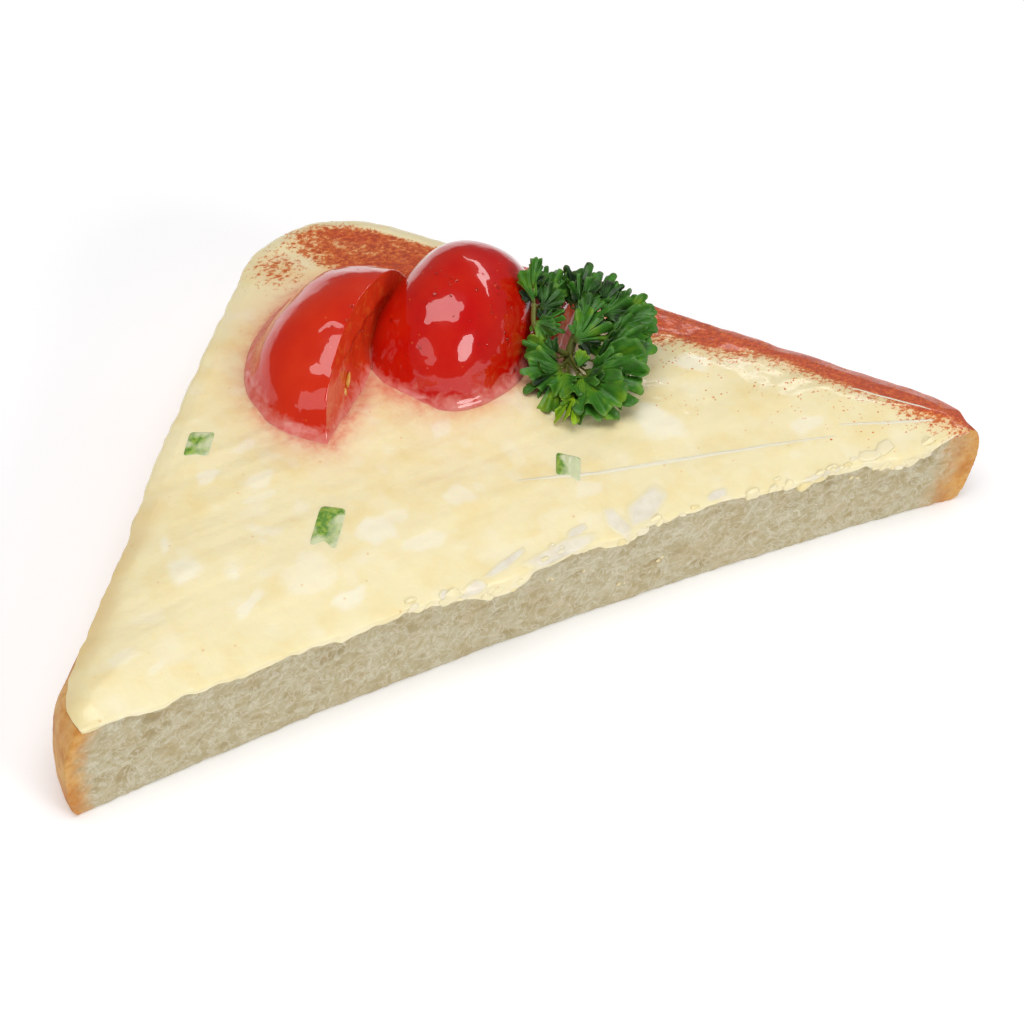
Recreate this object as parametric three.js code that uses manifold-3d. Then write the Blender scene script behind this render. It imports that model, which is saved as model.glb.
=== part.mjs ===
// An open egg sandwich. Half a slice of white toast, cut corner to corner, carries a layer of egg
// salad, three pieces of cherry tomato and a parsley sprig. Chive snippets and lumps of egg white
// are part of the egg salad.
// Millimetres, +Z up. The plan frame, used up to the last lines, has X along the cut towards the
// right tip, Y from the cut towards the slice's right-angled corner, and Z from the underside.

import * as THREE from "three";
import { mergeVertices } from "three/addons/utils/BufferGeometryUtils.js";
import Module from "manifold-3d";

const wasm = await Module();
wasm.setup();

// Driving dimensions, in millimetres and degrees.
const clearance = 0.3; // between pieces that touch
const slice = {
  side: 100, // crust to crust
  thickLeft: 14.8,
  thickRight: 12.4, // a soft slice, squashed a little towards its right tip
  loft: 0.6, // and a little thicker in the middle
  cornerLeft: 13.5,
  cornerBack: 15.5,
  cornerRight: 12.5,
  cutSag: 2.8, // how far the cut face bows in at its middle
  crustTaper: 1.5, // how far the crust draws in at the underside
  crustRound: 1.3, // and at the top
  widestAt: 0.6, // share of the height at which the crust is widest
  crumbRelief: 0.2, // depth of the open crumb on the cut face
};
const salad = {
  rim: 0.5, // height above the bread at the edge
  rimSlope: 0.055, // its rise for each millimetre towards the right-angled corner
  rimStart: 12,
  crown: 2.6, // height well inside the edge
  rimRun: 5, // distance over which the edge rounds up
  swell: 0.3, // height of the broad knife waves
  lipReach: 0.7, // how far the layer stands out over the cut
  legReach: 0.6, // and over the crust, away from the tips
  filletRise: 0.9, // the layer creeps up round the tomatoes
  filletRun: 1.5,
};
// Where the layer sags over the cut: place along the cut, spread and depth.
const sags = [
  { x: -52, spread: 6, depth: 0.5 },
  { x: -40, spread: 6, depth: 1.3 },
  { x: -26, spread: 6, depth: 1.5 },
  { x: -14, spread: 5.5, depth: 2.0 },
  { x: -5.5, spread: 4.5, depth: 4.2 },
  { x: 9.5, spread: 5, depth: 2.0 },
  { x: 38, spread: 7, depth: 1.3 },
  { x: 58, spread: 9, depth: 3.8 },
];
// Lumps of egg white under the top of the layer.
const topLumps = [
  { x: -42, y: 16, radius: 4.5, height: 0.5 },
  { x: -29, y: 11, radius: 5.5, height: 0.6 },
  { x: -26, y: 26, radius: 4.0, height: 0.4 },
  { x: -5, y: 14, radius: 4.0, height: 0.4 },
  { x: 24, y: 16, radius: 4.5, height: 0.5 },
  { x: 34, y: 23.5, radius: 3.6, height: 1.1 },
];
// Pieces of egg white that show at the cut: place along it, distance out from it, height over the
// bread's top, half sizes and the turn about the cut face's normal.
const edgeWhites = [
  { x: -15, out: 0.4, z: 0.9, half: [1.0, 0.8, 0.7], turn: 0 },
  { x: -11, out: 1.2, z: 0.8, half: [1.8, 1.0, 1.3], turn: 25 },
  { x: -6, out: 0.6, z: 2.7, half: [3.9, 0.8, 0.7], turn: 20 },
  { x: 1, out: 1.5, z: 1.5, half: [5.4, 1.0, 1.8], turn: 4 },
  { x: 4.7, out: 0.8, z: 2.7, half: [1.7, 0.9, 0.8], turn: 10 },
  { x: 9.8, out: 0.2, z: 3.1, half: [1.1, 1.0, 2.3], turn: -22 },
  { x: 14, out: -0.2, z: 3.1, half: [3.0, 1.1, 1.6], turn: 30 },
  { x: 24, out: 0.2, z: 2.0, half: [2.4, 0.9, 0.8], turn: 12 },
  { x: 38.5, out: 0.5, z: 1.5, half: [3.2, 1.0, 1.0], turn: 6 },
  { x: 44.5, out: 0.6, z: 1.2, half: [3.0, 1.1, 1.1], turn: -6 },
  { x: 50.5, out: 0.6, z: 1.0, half: [2.8, 1.0, 0.9], turn: 4 },
];
const chive = { width: 3.3, wall: 0.75, arch: 0.9 };
const chives = [
  { x: -30.5, y: 34.5, length: 3.8, turn: 70 },
  { x: -22.9, y: 16.2, length: 6.2, turn: 60 },
  { x: 10.3, y: 13.6, length: 4.4, turn: 62 },
];
// Pieces of tomato: middle of the footprint, half sizes and the direction of the long axis.
const tomatoSink = 0.6; // depth of a tomato below its base line, in the egg salad
const roundness = 2.25; // 2 is an ellipse, and more is squarer
const leftTomato = { x: -6.8, y: 39.5, half: [15, 11.3, 12.2], turn: 38.8, base: 15.8 };
const middleTomato = { x: 7.6, y: 38.4, half: [13.4, 9.7, 13.4], turn: 32, base: 15.8 };
const backTomato = { x: 19.5, y: 36.2, half: [7.4, 5.2, 5.6], turn: 40, base: 15.8 };
const leftCut = { offset: -3.2, lean: 14 }; // the knife's cut through the left piece
const backCut = { offset: -3.6, lean: 10 };
const seedPocket = { half: [10, 0.9, 3.4], rise: 5.2 };
// The sprig, in a frame of its own: X across it, Y up along its stem and Z towards the side that
// its leaves open to. A leaf has its foot, its tip, its lobes' spread each way and how far its face
// rolls about its middle line.
const sprig = {
  root: { x: 18.3, y: 28.1, z: 17.3 },
  turn: -37.6, // degrees from the slice's frame
  tip: 45, // the leaves' open side looks up by this
  roll: 9.7,
};
const stem = { radius: 0.8, petiole: 0.42, top: [2.4, 5.6, 0.8] };
const leafThickness = 0.5;
const leaves = [
  { foot: [-4.4, 6.4, 3.4], tip: [-4.6, 14.2, 5.0], spread: 24, roll: 15 },
  { foot: [-3.0, 5.0, 2.4], tip: [-2.2, 10.4, 3.4], spread: 58, roll: -12 },
  { foot: [-1.4, 8.0, 0.2], tip: [-1.8, 13.2, 0.6], spread: 42, roll: 10 },
  { foot: [0.9, 7.2, 0.6], tip: [1.9, 13.2, 0.8], spread: 44, roll: 14 },
  { foot: [2.8, 6.8, 0.4], tip: [6.5, 11.8, 0.2], spread: 46, roll: -10 },
  { foot: [4.4, 5.2, 0.6], tip: [10.6, 8.2, 0.6], spread: 44, roll: 12 },
  { foot: [4.8, 3.4, 0.4], tip: [11.8, 4.4, 0.6], spread: 36, roll: -14 },
  { foot: [2.2, 3.0, 2.2], tip: [5.6, 7.2, 3.8], spread: 62, roll: 10 },
  { foot: [2.4, 0.6, 2.0], tip: [11.2, 1.1, 2.8], spread: 32, roll: 12 },
  { foot: [1.8, -0.8, 3.2], tip: [10.4, -2.8, 5.6], spread: 36, roll: -8 },
  { foot: [0.8, -1.2, 3.6], tip: [1.8, -7.9, 10.0], spread: 48, roll: 8 },
  { foot: [-0.8, 0.0, 2.4], tip: [-3.4, -4.6, 7.0], spread: 62, roll: -6 },
  { foot: [-1.4, 1.2, 2.2], tip: [-5.6, 2.2, 3.4], spread: 44, roll: 10 },
];

// Facets. A finer step gives more triangles.
const breadStep = 2.9;
const saladStep = 3.9;
const breadLevels = [0, 0.08, 0.3, 0.55, 0.78, 0.93, 1];
const saladRings = [0.98, 0.94, 0.88, 0.81, 0.73, 0.64, 0.55, 0.45, 0.35, 0.24, 0.12];
const domeSides = 32;
const domeLevels = [0, 9, 20, 32, 44, 56, 68, 80];

const half = slice.side / Math.SQRT2; // half of the diagonal cut, before the corners are rounded
const radians = THREE.MathUtils.degToRad;

// A repeatable value from -0.5 to 0.5 for a pair of counters.
function speckle(i, k) {
  const wave = Math.sin((i + 1) * 127.1 + (k + 1) * 311.7) * 43758.5453;
  return wave - Math.floor(wave) - 0.5;
}

// A smooth bump of height 1 at the middle, with that spread.
function bump(distance, spread) {
  return Math.exp(-((distance / spread) ** 2));
}

// Joins closed rings of points, from the first to the last, into one closed surface. The rings
// turn anticlockwise about the direction in which they follow each other.
function skin(rings, firstCentre, lastCentre) {
  const around = rings[0].length;
  const points = [firstCentre, ...rings.flat(), lastCentre];
  const last = points.length - 1;
  const index = [];
  const at = (ring, i) => 1 + ring * around + (i % around);
  for (let i = 0; i < around; i++) {
    index.push(0, at(0, i + 1), at(0, i));
    for (let ring = 0; ring + 1 < rings.length; ring++) {
      const [a, b, c, d] = [at(ring, i), at(ring, i + 1), at(ring + 1, i + 1), at(ring + 1, i)];
      if ((i + ring) % 2) index.push(a, b, c, a, c, d);
      else index.push(a, b, d, b, c, d);
    }
    index.push(last, at(rings.length - 1, i), at(rings.length - 1, i + 1));
  }
  return new THREE.BufferGeometry().setFromPoints(points).setIndex(index);
}

// A mesh's geometry, where the mesh stands, as a solid that can be joined and cut.
function solidOf(mesh) {
  mesh.updateMatrixWorld(true);
  const placed = mesh.geometry.clone().applyMatrix4(mesh.matrixWorld);
  placed.deleteAttribute("normal");
  placed.deleteAttribute("uv");
  const merged = mergeVertices(placed, 1e-4);
  return new wasm.Manifold(
    new wasm.Mesh({
      numProp: 3,
      vertProperties: merged.attributes.position.array,
      triVerts: new Uint32Array(merged.index.array),
    }),
  );
}

// The largest closed body of a solid, as a geometry. Scraps that a cut leaves are dropped.
function geometryOf(solid) {
  const bodies = solid.decompose();
  const largest = bodies.reduce((a, b) => (a.volume() > b.volume() ? a : b));
  const cut = largest.getMesh();
  const geometry = new THREE.BufferGeometry();
  geometry.setAttribute("position", new THREE.BufferAttribute(cut.vertProperties, 3));
  geometry.setIndex(new THREE.BufferAttribute(cut.triVerts, 1));
  geometry.computeVertexNormals();
  return geometry;
}

const shapeOf = (geometry) => new THREE.Mesh(geometry);

// The half slice in plan, anticlockwise from the left end of the cut. Each point knows its outward
// direction and which side it is on.
function sliceOutline(step) {
  const diagonal = Math.SQRT2;
  const { cornerLeft, cornerBack, cornerRight } = slice;
  const leftEnd = new THREE.Vector2(-half + cornerLeft * (diagonal - 1), 0);
  const rightEnd = new THREE.Vector2(half - cornerRight * (diagonal - 1), 0);
  const bow = new THREE.Vector2(0, 2 * slice.cutSag);
  const arc = (x, y, radius, from, to) =>
    new THREE.EllipseCurve(x, y, radius, radius, radians(from), radians(to));
  const rightTip = arc(half - cornerRight * diagonal, 0, cornerRight, 0, 45);
  const backCorner = arc(0, half - cornerBack * diagonal, cornerBack, 45, 135);
  const leftTip = arc(-half + cornerLeft * diagonal, 0, cornerLeft, 135, 180);
  const sides = [
    { name: "cut", curve: new THREE.QuadraticBezierCurve(leftEnd, bow, rightEnd) },
    { name: "rightTip", curve: rightTip },
    { name: "rightLeg", curve: new THREE.LineCurve(rightTip.getPoint(1), backCorner.getPoint(0)) },
    { name: "back", curve: backCorner },
    { name: "leftLeg", curve: new THREE.LineCurve(backCorner.getPoint(1), leftTip.getPoint(0)) },
    { name: "leftTip", curve: leftTip },
  ];
  const points = [];
  for (const { name, curve } of sides) {
    const count = Math.ceil(curve.getLength() / step);
    for (let i = 0; i < count; i++) {
      const { x, y } = curve.getPointAt(i / count);
      points.push({ x, y, side: name });
    }
  }
  points.forEach((point, i) => {
    const before = points.at(i - 1);
    const after = points[(i + 1) % points.length];
    const run = Math.hypot(after.x - before.x, after.y - before.y);
    point.outX = (after.y - before.y) / run;
    point.outY = -(after.x - before.x) / run;
  });
  const leftCorner = points[0];
  const rightCorner = points.find((point) => point.side === "rightTip");
  Object.assign(leftCorner, { side: "leftTip", outX: -1, outY: 0 });
  Object.assign(rightCorner, { outX: 1, outY: 0 });
  return points;
}

function breadTop(x) {
  const share = (x + half) / (2 * half);
  const wedge = THREE.MathUtils.lerp(slice.thickLeft, slice.thickRight, share);
  return wedge + slice.loft * 4 * share * (1 - share);
}

// How far a point of the crust or of the cut face lies inside the outline at a share of the height.
function breadInset(side, share, i, level) {
  if (side === "cut") return slice.crumbRelief * speckle(i, level) * 2;
  const below = Math.max(0, slice.widestAt - share) / slice.widestAt;
  const above = Math.max(0, share - slice.widestAt) / (1 - slice.widestAt);
  return slice.crustTaper * below ** 1.5 + slice.crustRound * above ** 2;
}

// The bread, or with grow the same bread made larger all round.
function breadGeometry(grow = 0) {
  const outline = sliceOutline(breadStep);
  const rings = breadLevels.map((share, level) =>
    outline.map(({ x, y, side, outX, outY }, i) => {
      const out = grow - breadInset(side, share, i, level);
      const height = breadTop(x) + 2 * grow;
      return new THREE.Vector3(x + out * outX, y + out * outY, share * height - grow);
    }),
  );
  const middle = { x: 0, y: half / 3 };
  const under = new THREE.Vector3(middle.x, middle.y, -grow);
  const over = new THREE.Vector3(middle.x, middle.y, breadTop(middle.x) + grow);
  return skin(rings, under, over);
}

// The distance from a tomato's footprint, below zero inside it.
function footprintDistance({ x, y, half: [long, wide], turn }, px, py) {
  const c = Math.cos(radians(turn));
  const s = Math.sin(radians(turn));
  const along = (px - x) * c + (py - y) * s;
  const across = (py - y) * c - (px - x) * s;
  return (Math.hypot(along / long, across / wide) - 1) * wide;
}

// Height of the egg salad above the bread, at a distance inside the slice's outline.
function saladHeight(x, y, inside) {
  const rim = salad.rim + salad.rimSlope * Math.max(0, y - salad.rimStart);
  const crown = Math.max(salad.crown, rim + 0.3);
  let height = crown - (crown - rim) * Math.exp(-inside / salad.rimRun);
  const calm = 1 - Math.exp(-inside / salad.rimRun);
  height += salad.swell * calm * Math.sin(x / 7 + y / 11) * Math.cos(y / 6 - x / 17);
  for (const lump of topLumps) {
    height += lump.height * calm * bump(Math.hypot(x - lump.x, y - lump.y), lump.radius);
  }
  for (const tomato of [leftTomato, middleTomato, backTomato]) {
    const away = Math.max(0, footprintDistance(tomato, x, y));
    height += salad.filletRise * Math.exp(-away / salad.filletRun);
  }
  return height;
}

// How far the layer's edge stands outside the slice, and how far it hangs below the bread's top.
function saladEdge({ x, y, side }, i) {
  const ragged = speckle(i, 3);
  if (side === "cut") {
    const deep = sags.reduce((sum, sag) => sum + sag.depth * bump(x - sag.x, sag.spread), 0);
    const reach = salad.lipReach + 0.3 * deep + 0.3 * ragged;
    return { reach, drop: 0.6 * deep + 0.3 * (ragged + 0.5) };
  }
  const atTips = { rightTip: -2.6, leftTip: -2.2, rightLeg: -0.6, leftLeg: -1.3, back: 0.6 }[side];
  const away = THREE.MathUtils.smoothstep(y, salad.rimStart, 3 * salad.rimStart);
  return { reach: THREE.MathUtils.lerp(atTips, salad.legReach, away) + 0.5 * ragged, drop: 0 };
}

function distanceInside(outline, x, y) {
  return outline.reduce((least, p) => Math.min(least, Math.hypot(p.x - x, p.y - y)), Infinity);
}

// The layer of egg salad: rings run under it from the middle out, round its lip, and back over it.
function saladGeometry(grow = 0) {
  const outline = sliceOutline(saladStep);
  const middle = new THREE.Vector2(3, 34);
  const edges = outline.map((point, i) => ({
    ...saladEdge(point, i),
    cut: point.side === "cut",
    rim: grow + saladHeight(point.x, point.y, 0),
  }));
  const lip = (pick) =>
    outline.map(({ x, y, outX, outY }, i) => {
      const { out, z } = pick(edges[i]);
      const reach = out + grow;
      return new THREE.Vector3(x + reach * outX, y + reach * outY, breadTop(x) + z);
    });
  const inward = (ring, share, height) =>
    ring.map(({ x, y }) => {
      const px = THREE.MathUtils.lerp(middle.x, x, share);
      const py = THREE.MathUtils.lerp(middle.y, y, share);
      return new THREE.Vector3(px, py, breadTop(px) + height(px, py));
    });
  const fine = sliceOutline(1);
  const top = (x, y) => grow + saladHeight(x, y, distanceInside(fine, x, y));
  const clear = clearance + slice.crumbRelief;
  const foot = lip(({ reach, cut }) => ({ out: cut ? -1.2 : reach - 1.6, z: clearance }));
  const rings = [
    inward(foot, 0.5, () => clearance),
    foot,
    lip(({ reach, cut }) => ({ out: cut ? clear : reach - 0.9, z: clearance })),
    lip(({ reach, drop, cut }) => ({
      out: cut ? Math.max(clear, 0.8 * reach) : reach - 0.3,
      z: cut ? -drop : clearance,
    })),
    lip(({ reach, drop, rim, cut }) => ({ out: reach, z: cut ? 0.3 - 0.4 * drop : 0.4 * rim })),
    lip(({ reach, rim, cut }) => ({ out: cut ? 0.75 * reach : reach - 0.3, z: 0.8 * rim })),
    ...saladRings.map((share) => inward(foot, share, top)),
  ];
  const under = new THREE.Vector3(middle.x, middle.y, breadTop(middle.x) + clearance);
  const over = new THREE.Vector3(middle.x, middle.y, breadTop(middle.x) + top(middle.x, middle.y));
  return skin(rings, under, over);
}

function saladTopAt(x, y) {
  return breadTop(x) + saladHeight(x, y, distanceInside(sliceOutline(1), x, y));
}

// A snippet of chive: a flattened tube, slit and opened, lying as a shallow arch.
function chiveShape({ x, y, length, turn }) {
  const { width, wall, arch } = chive;
  const section = new THREE.Shape();
  section.moveTo(-width / 2, -wall);
  section.lineTo(width / 2, -wall);
  section.lineTo(width / 2, 0);
  section.quadraticCurveTo(0, 2 * arch, -width / 2, 0);
  const geometry = new THREE.ExtrudeGeometry(section, {
    depth: length,
    bevelEnabled: false,
    curveSegments: 4,
  });
  geometry.translate(0, 0, -length / 2).rotateX(Math.PI / 2);
  const shape = shapeOf(geometry);
  shape.position.set(x, y, saladTopAt(x, y));
  shape.rotation.z = radians(turn - 90);
  return shape;
}

// A piece of egg white in the lip of the layer, flat against the cut.
function edgeWhiteShape({ x, out, z, half: size, turn }) {
  const shape = shapeOf(new THREE.OctahedronGeometry(1, 1));
  const bow = slice.cutSag * (1 - (x / half) ** 2);
  shape.scale.set(...size);
  shape.position.set(x, bow - out, breadTop(x) + z);
  shape.rotation.y = -radians(turn);
  return shape;
}

// The skin side of a tomato piece on its footprint, or with grow a larger one.
function domeShape({ x, y, half: [long, wide, tall], turn, base }, grow = 0) {
  const ringAt = (degrees) => {
    const shrink = Math.cos(radians(degrees));
    const ring = [];
    for (let i = 0; i < domeSides; i++) {
      const angle = (i / domeSides) * 2 * Math.PI;
      const c = Math.cos(angle);
      const s = Math.sin(angle);
      const square = (Math.abs(c) ** roundness + Math.abs(s) ** roundness) ** (-1 / roundness);
      const out = shrink * square;
      const z = (tall + grow) * Math.sin(radians(degrees));
      ring.push(new THREE.Vector3((long + grow) * c * out, (wide + grow) * s * out, z));
    }
    return ring;
  };
  const floor = ringAt(0).map((p) => p.clone().multiplyScalar(0.98).setZ(-tomatoSink - grow));
  const rings = [floor, ...domeLevels.map(ringAt)];
  const under = new THREE.Vector3(0, 0, -tomatoSink - grow);
  const shape = shapeOf(skin(rings, under, new THREE.Vector3(0, 0, tall + grow)));
  shape.position.set(x, y, base);
  shape.rotation.z = radians(turn);
  return shape;
}

// Sets a shape against the knife's cut through a tomato piece, at a distance beyond the cut.
function atCut(shape, { x, y, turn, base }, { offset, lean }, beyond = 0) {
  const hinge = new THREE.Group();
  hinge.add(shape);
  hinge.rotation.x = -radians(lean);
  hinge.position.y = offset - beyond;
  const place = new THREE.Group();
  place.add(hinge);
  place.position.set(x, y, base);
  place.rotation.z = radians(turn);
  place.updateMatrixWorld(true);
  return shape;
}

// What a knife takes off a tomato piece: everything beyond a leaning plane on its right side.
function knifeShape(tomato, cut, beyond) {
  const size = 60;
  const block = shapeOf(new THREE.BoxGeometry(size, size, size));
  block.position.y = -size / 2;
  return atCut(block, tomato, cut, beyond);
}

// The seed pocket that the knife opens in the left piece's cut face.
function pocketShape(tomato, cut) {
  const pocket = shapeOf(new THREE.SphereGeometry(1, 16, 10));
  pocket.scale.set(...seedPocket.half);
  pocket.position.z = seedPocket.rise;
  return atCut(pocket, tomato, cut);
}

// A tomato piece cut by the knife, or with grow a larger one.
function wedgeSolid(tomato, cut, grow = 0) {
  return solidOf(domeShape(tomato, grow)).subtract(solidOf(knifeShape(tomato, cut, grow)));
}

// A round stalk along a curve through the points.
function stalkShape(points, radius, sides) {
  const section = new THREE.Shape();
  section.absarc(0, 0, radius, 0, 2 * Math.PI);
  const path = new THREE.CatmullRomCurve3(points);
  const options = { steps: 3, curveSegments: sides, extrudePath: path };
  return shapeOf(new THREE.ExtrudeGeometry(section, options));
}

// Length of a leaf from its foot as a share of the longest, across the leaf from -1 to 1: lobes
// with notches between them, the middle one longest.
function lobeLength(across) {
  const notch = Math.abs(Math.cos(1.5 * Math.PI * across)) ** 0.6;
  return (1 - 0.22 * Math.abs(across)) * (0.72 + 0.28 * notch);
}

// A leaf as a thin crinkled solid, with both faces split alike, fanned out from its foot.
function leafShape({ foot, tip, spread, roll }, order) {
  const fans = 12;
  const steps = [0.5, 1];
  const from = new THREE.Vector3(...foot);
  const along = new THREE.Vector3(...tip).sub(from);
  const length = along.length();
  const face = (lift) => {
    const points = [new THREE.Vector3(0, 0, lift)];
    for (let i = 0; i <= fans; i++) {
      const across = (2 * i) / fans - 1;
      const angle = radians(spread) * across;
      for (const step of steps) {
        const reach = length * step * lobeLength(across);
        const crinkle = 0.11 * length * step ** 2 * Math.cos(3 * Math.PI * across + order);
        const droop = -0.12 * length * step ** 2;
        points.push(
          new THREE.Vector3(reach * Math.cos(angle), reach * Math.sin(angle), lift + droop + crinkle),
        );
      }
    }
    return points;
  };
  const upper = face(leafThickness / 2);
  const points = [...upper, ...face(-leafThickness / 2)];
  const below = upper.length;
  const index = [];
  const quad = (a, b, c, d) => index.push(a, b, c, a, c, d);
  const at = (fan, step) => (step < 0 ? 0 : 1 + fan * steps.length + step);
  const outer = steps.length - 1;
  for (let fan = 0; fan < fans; fan++) {
    index.push(0, at(fan, 0), at(fan + 1, 0));
    index.push(below, below + at(fan + 1, 0), below + at(fan, 0));
    for (let step = 0; step < outer; step++) {
      quad(at(fan, step), at(fan, step + 1), at(fan + 1, step + 1), at(fan + 1, step));
      quad(
        below + at(fan, step),
        below + at(fan + 1, step),
        below + at(fan + 1, step + 1),
        below + at(fan, step + 1),
      );
    }
    quad(at(fan, outer), below + at(fan, outer), below + at(fan + 1, outer), at(fan + 1, outer));
  }
  for (let step = -1; step < outer; step++) {
    quad(at(0, step), below + at(0, step), below + at(0, step + 1), at(0, step + 1));
    quad(at(fans, step + 1), below + at(fans, step + 1), below + at(fans, step), at(fans, step));
  }
  const shape = shapeOf(new THREE.BufferGeometry().setFromPoints(points).setIndex(index));
  const forward = along.clone().normalize();
  const sideways = new THREE.Vector3(0, 0, 1).cross(forward).normalize();
  sideways.applyAxisAngle(forward, radians(roll));
  const upward = forward.clone().cross(sideways);
  shape.quaternion.setFromRotationMatrix(new THREE.Matrix4().makeBasis(forward, sideways, upward));
  shape.position.copy(from);
  return shape;
}

// The sprig's frame in the slice's frame.
function sprigFrame() {
  const frame = new THREE.Group();
  const { x, y, z } = sprig.root;
  frame.position.set(x, y, z);
  frame.rotation.order = "ZXY";
  frame.rotation.set(radians(90 - sprig.tip), 0, radians(sprig.turn));
  const rolled = new THREE.Group();
  rolled.rotation.z = radians(sprig.roll);
  frame.add(rolled);
  return { frame, rolled };
}

function sprigSolid() {
  const { frame, rolled } = sprigFrame();
  const shapes = [];
  const root = new THREE.Vector3(0, 0, 0);
  const top = new THREE.Vector3(...stem.top);
  const bend = top.clone().multiplyScalar(0.5).add(new THREE.Vector3(-0.5, 0, 0.2));
  shapes.push(stalkShape([root, bend, top], stem.radius, 7));
  leaves.forEach((leaf, order) => {
    const foot = new THREE.Vector3(...leaf.foot);
    const start = top.clone().multiplyScalar(Math.min(0.9, Math.max(0.1, leaf.foot[1] / 7)));
    const end = foot.clone().lerp(new THREE.Vector3(...leaf.tip), 0.25);
    shapes.push(stalkShape([start, foot, end], stem.petiole, 5));
    shapes.push(leafShape(leaf, order));
  });
  rolled.add(...shapes);
  frame.updateMatrixWorld(true);
  return shapes.map(solidOf).reduce((solid, shape) => solid.add(shape));
}

function saladSolid() {
  let solid = solidOf(shapeOf(saladGeometry()));
  for (const snippet of chives) solid = solid.add(solidOf(chiveShape(snippet)));
  const bread = solidOf(shapeOf(breadGeometry(clearance)));
  for (const white of edgeWhites) solid = solid.add(solidOf(edgeWhiteShape(white)).subtract(bread));
  return solid;
}

const grownMiddle = solidOf(domeShape(middleTomato, clearance));
const grownLeft = wedgeSolid(leftTomato, leftCut, clearance);
const grownBack = wedgeSolid(backTomato, backCut, clearance);
const leftSolid = wedgeSolid(leftTomato, leftCut)
  .subtract(solidOf(pocketShape(leftTomato, leftCut)))
  .subtract(grownMiddle);
const backSolid = wedgeSolid(backTomato, backCut).subtract(grownMiddle);
const spreadSolid = saladSolid().subtract(grownLeft).subtract(grownMiddle).subtract(grownBack);
const sprigCut = sprigSolid()
  .subtract(grownMiddle)
  .subtract(grownBack)
  .subtract(solidOf(shapeOf(saladGeometry(clearance))));

function piece(name, geometry, color, roughness) {
  const material = new THREE.MeshStandardMaterial({ color, roughness, metalness: 0 });
  const mesh = new THREE.Mesh(geometry, material);
  mesh.name = name;
  return mesh;
}

const sandwich = new THREE.Group();
sandwich.add(
  piece("bread", breadGeometry(), 0xd9cfae, 0.9),
  piece("egg_salad", geometryOf(spreadSolid), 0xf3e3ac, 0.35),
  piece("tomato_left", geometryOf(leftSolid), 0xc42a18, 0.15),
  piece("tomato_middle", geometryOf(solidOf(domeShape(middleTomato))), 0xc42a18, 0.15),
  piece("tomato_back", geometryOf(backSolid), 0xc42a18, 0.15),
  piece("parsley_sprig", geometryOf(sprigCut), 0x2f6a22, 0.5),
);

// The part's origin is the middle of its underside.
const bounds = new THREE.Box3().setFromObject(sandwich, true);
const centre = bounds.getCenter(new THREE.Vector3());
sandwich.position.set(-centre.x, -centre.y, -bounds.min.z);

export default sandwich;
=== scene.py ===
import itertools
import math
from functools import partial

import bmesh
import bpy
import numpy as np
from mathutils import Matrix, Vector
from mathutils.bvhtree import BVHTree


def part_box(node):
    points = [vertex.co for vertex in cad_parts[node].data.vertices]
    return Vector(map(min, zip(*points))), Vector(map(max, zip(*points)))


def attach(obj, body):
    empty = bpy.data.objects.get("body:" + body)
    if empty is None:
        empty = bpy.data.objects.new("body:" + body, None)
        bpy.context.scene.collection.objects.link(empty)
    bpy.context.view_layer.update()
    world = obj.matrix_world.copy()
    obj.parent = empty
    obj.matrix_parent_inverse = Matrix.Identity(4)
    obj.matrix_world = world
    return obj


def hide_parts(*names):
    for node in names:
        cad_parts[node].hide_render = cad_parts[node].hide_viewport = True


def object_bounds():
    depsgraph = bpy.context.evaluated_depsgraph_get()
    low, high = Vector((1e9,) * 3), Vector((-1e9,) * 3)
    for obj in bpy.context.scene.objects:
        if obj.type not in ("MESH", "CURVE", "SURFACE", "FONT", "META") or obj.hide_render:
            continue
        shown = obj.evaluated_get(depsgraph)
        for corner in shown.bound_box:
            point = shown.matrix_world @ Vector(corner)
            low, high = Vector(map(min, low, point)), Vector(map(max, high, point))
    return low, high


# An open egg sandwich: half a slice of white toast with egg salad, cherry tomato, parsley, chive
# and paprika under a clear savoury glaze.
# Shapes are worked out in millimetres, in the slice's plan frame: X along the cut towards the right
# tip, Y from the cut towards the right-angled corner, Z up from the underside.
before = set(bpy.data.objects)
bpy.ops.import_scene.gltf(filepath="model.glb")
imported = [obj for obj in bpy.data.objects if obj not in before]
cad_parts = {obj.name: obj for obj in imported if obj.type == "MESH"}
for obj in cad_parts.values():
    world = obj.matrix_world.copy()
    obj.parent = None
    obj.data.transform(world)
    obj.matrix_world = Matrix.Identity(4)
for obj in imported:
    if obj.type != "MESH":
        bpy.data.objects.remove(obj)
cadLow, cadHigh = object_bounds()
mm = 0.001

toast = {
    "side": 100,  # crust to crust
    "thickLeft": 14.8,
    "thickRight": 12.4,
    "loft": 0.6,  # a little thicker in the middle
    "cornerLeft": 13.5,
    "cornerBack": 15.5,
    "cornerRight": 12.5,
    "cutSag": 2.8,  # how far the cut face bows in at its middle
    "tipLean": 0.18,  # how far the feet of the tips turn to the front
    "crustTaper": 1.5,
    "crustRound": 1.3,
    "widestAt": 0.6,
    "edgeRound": 0.5,  # rounding of the crumb's edges
    "cutStep": 0.21,  # mesh spacing on the cut face
    "crustStep": 1.0,
    "levelStep": 0.21,
    "pores": ((3600, 0.29, 0.35, 1.0), (60, 0.62, 0.3, 1.25)),  # count, radius, how it varies, stretch
    "poreDepth": 0.38,  # depth of a pore as a share of its radius
}
half = toast["side"] / math.sqrt(2)


def planOrigin():
    # where the plan frame stands in the part's frame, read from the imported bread
    low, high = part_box("bread")
    lean = (toast["cornerLeft"] - toast["cornerRight"]) * (math.sqrt(2) - 1) / 2
    return np.array([(low.x + high.x) / 2 / mm - lean, low.y / mm, low.z / mm])


origin = planOrigin()


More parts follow.
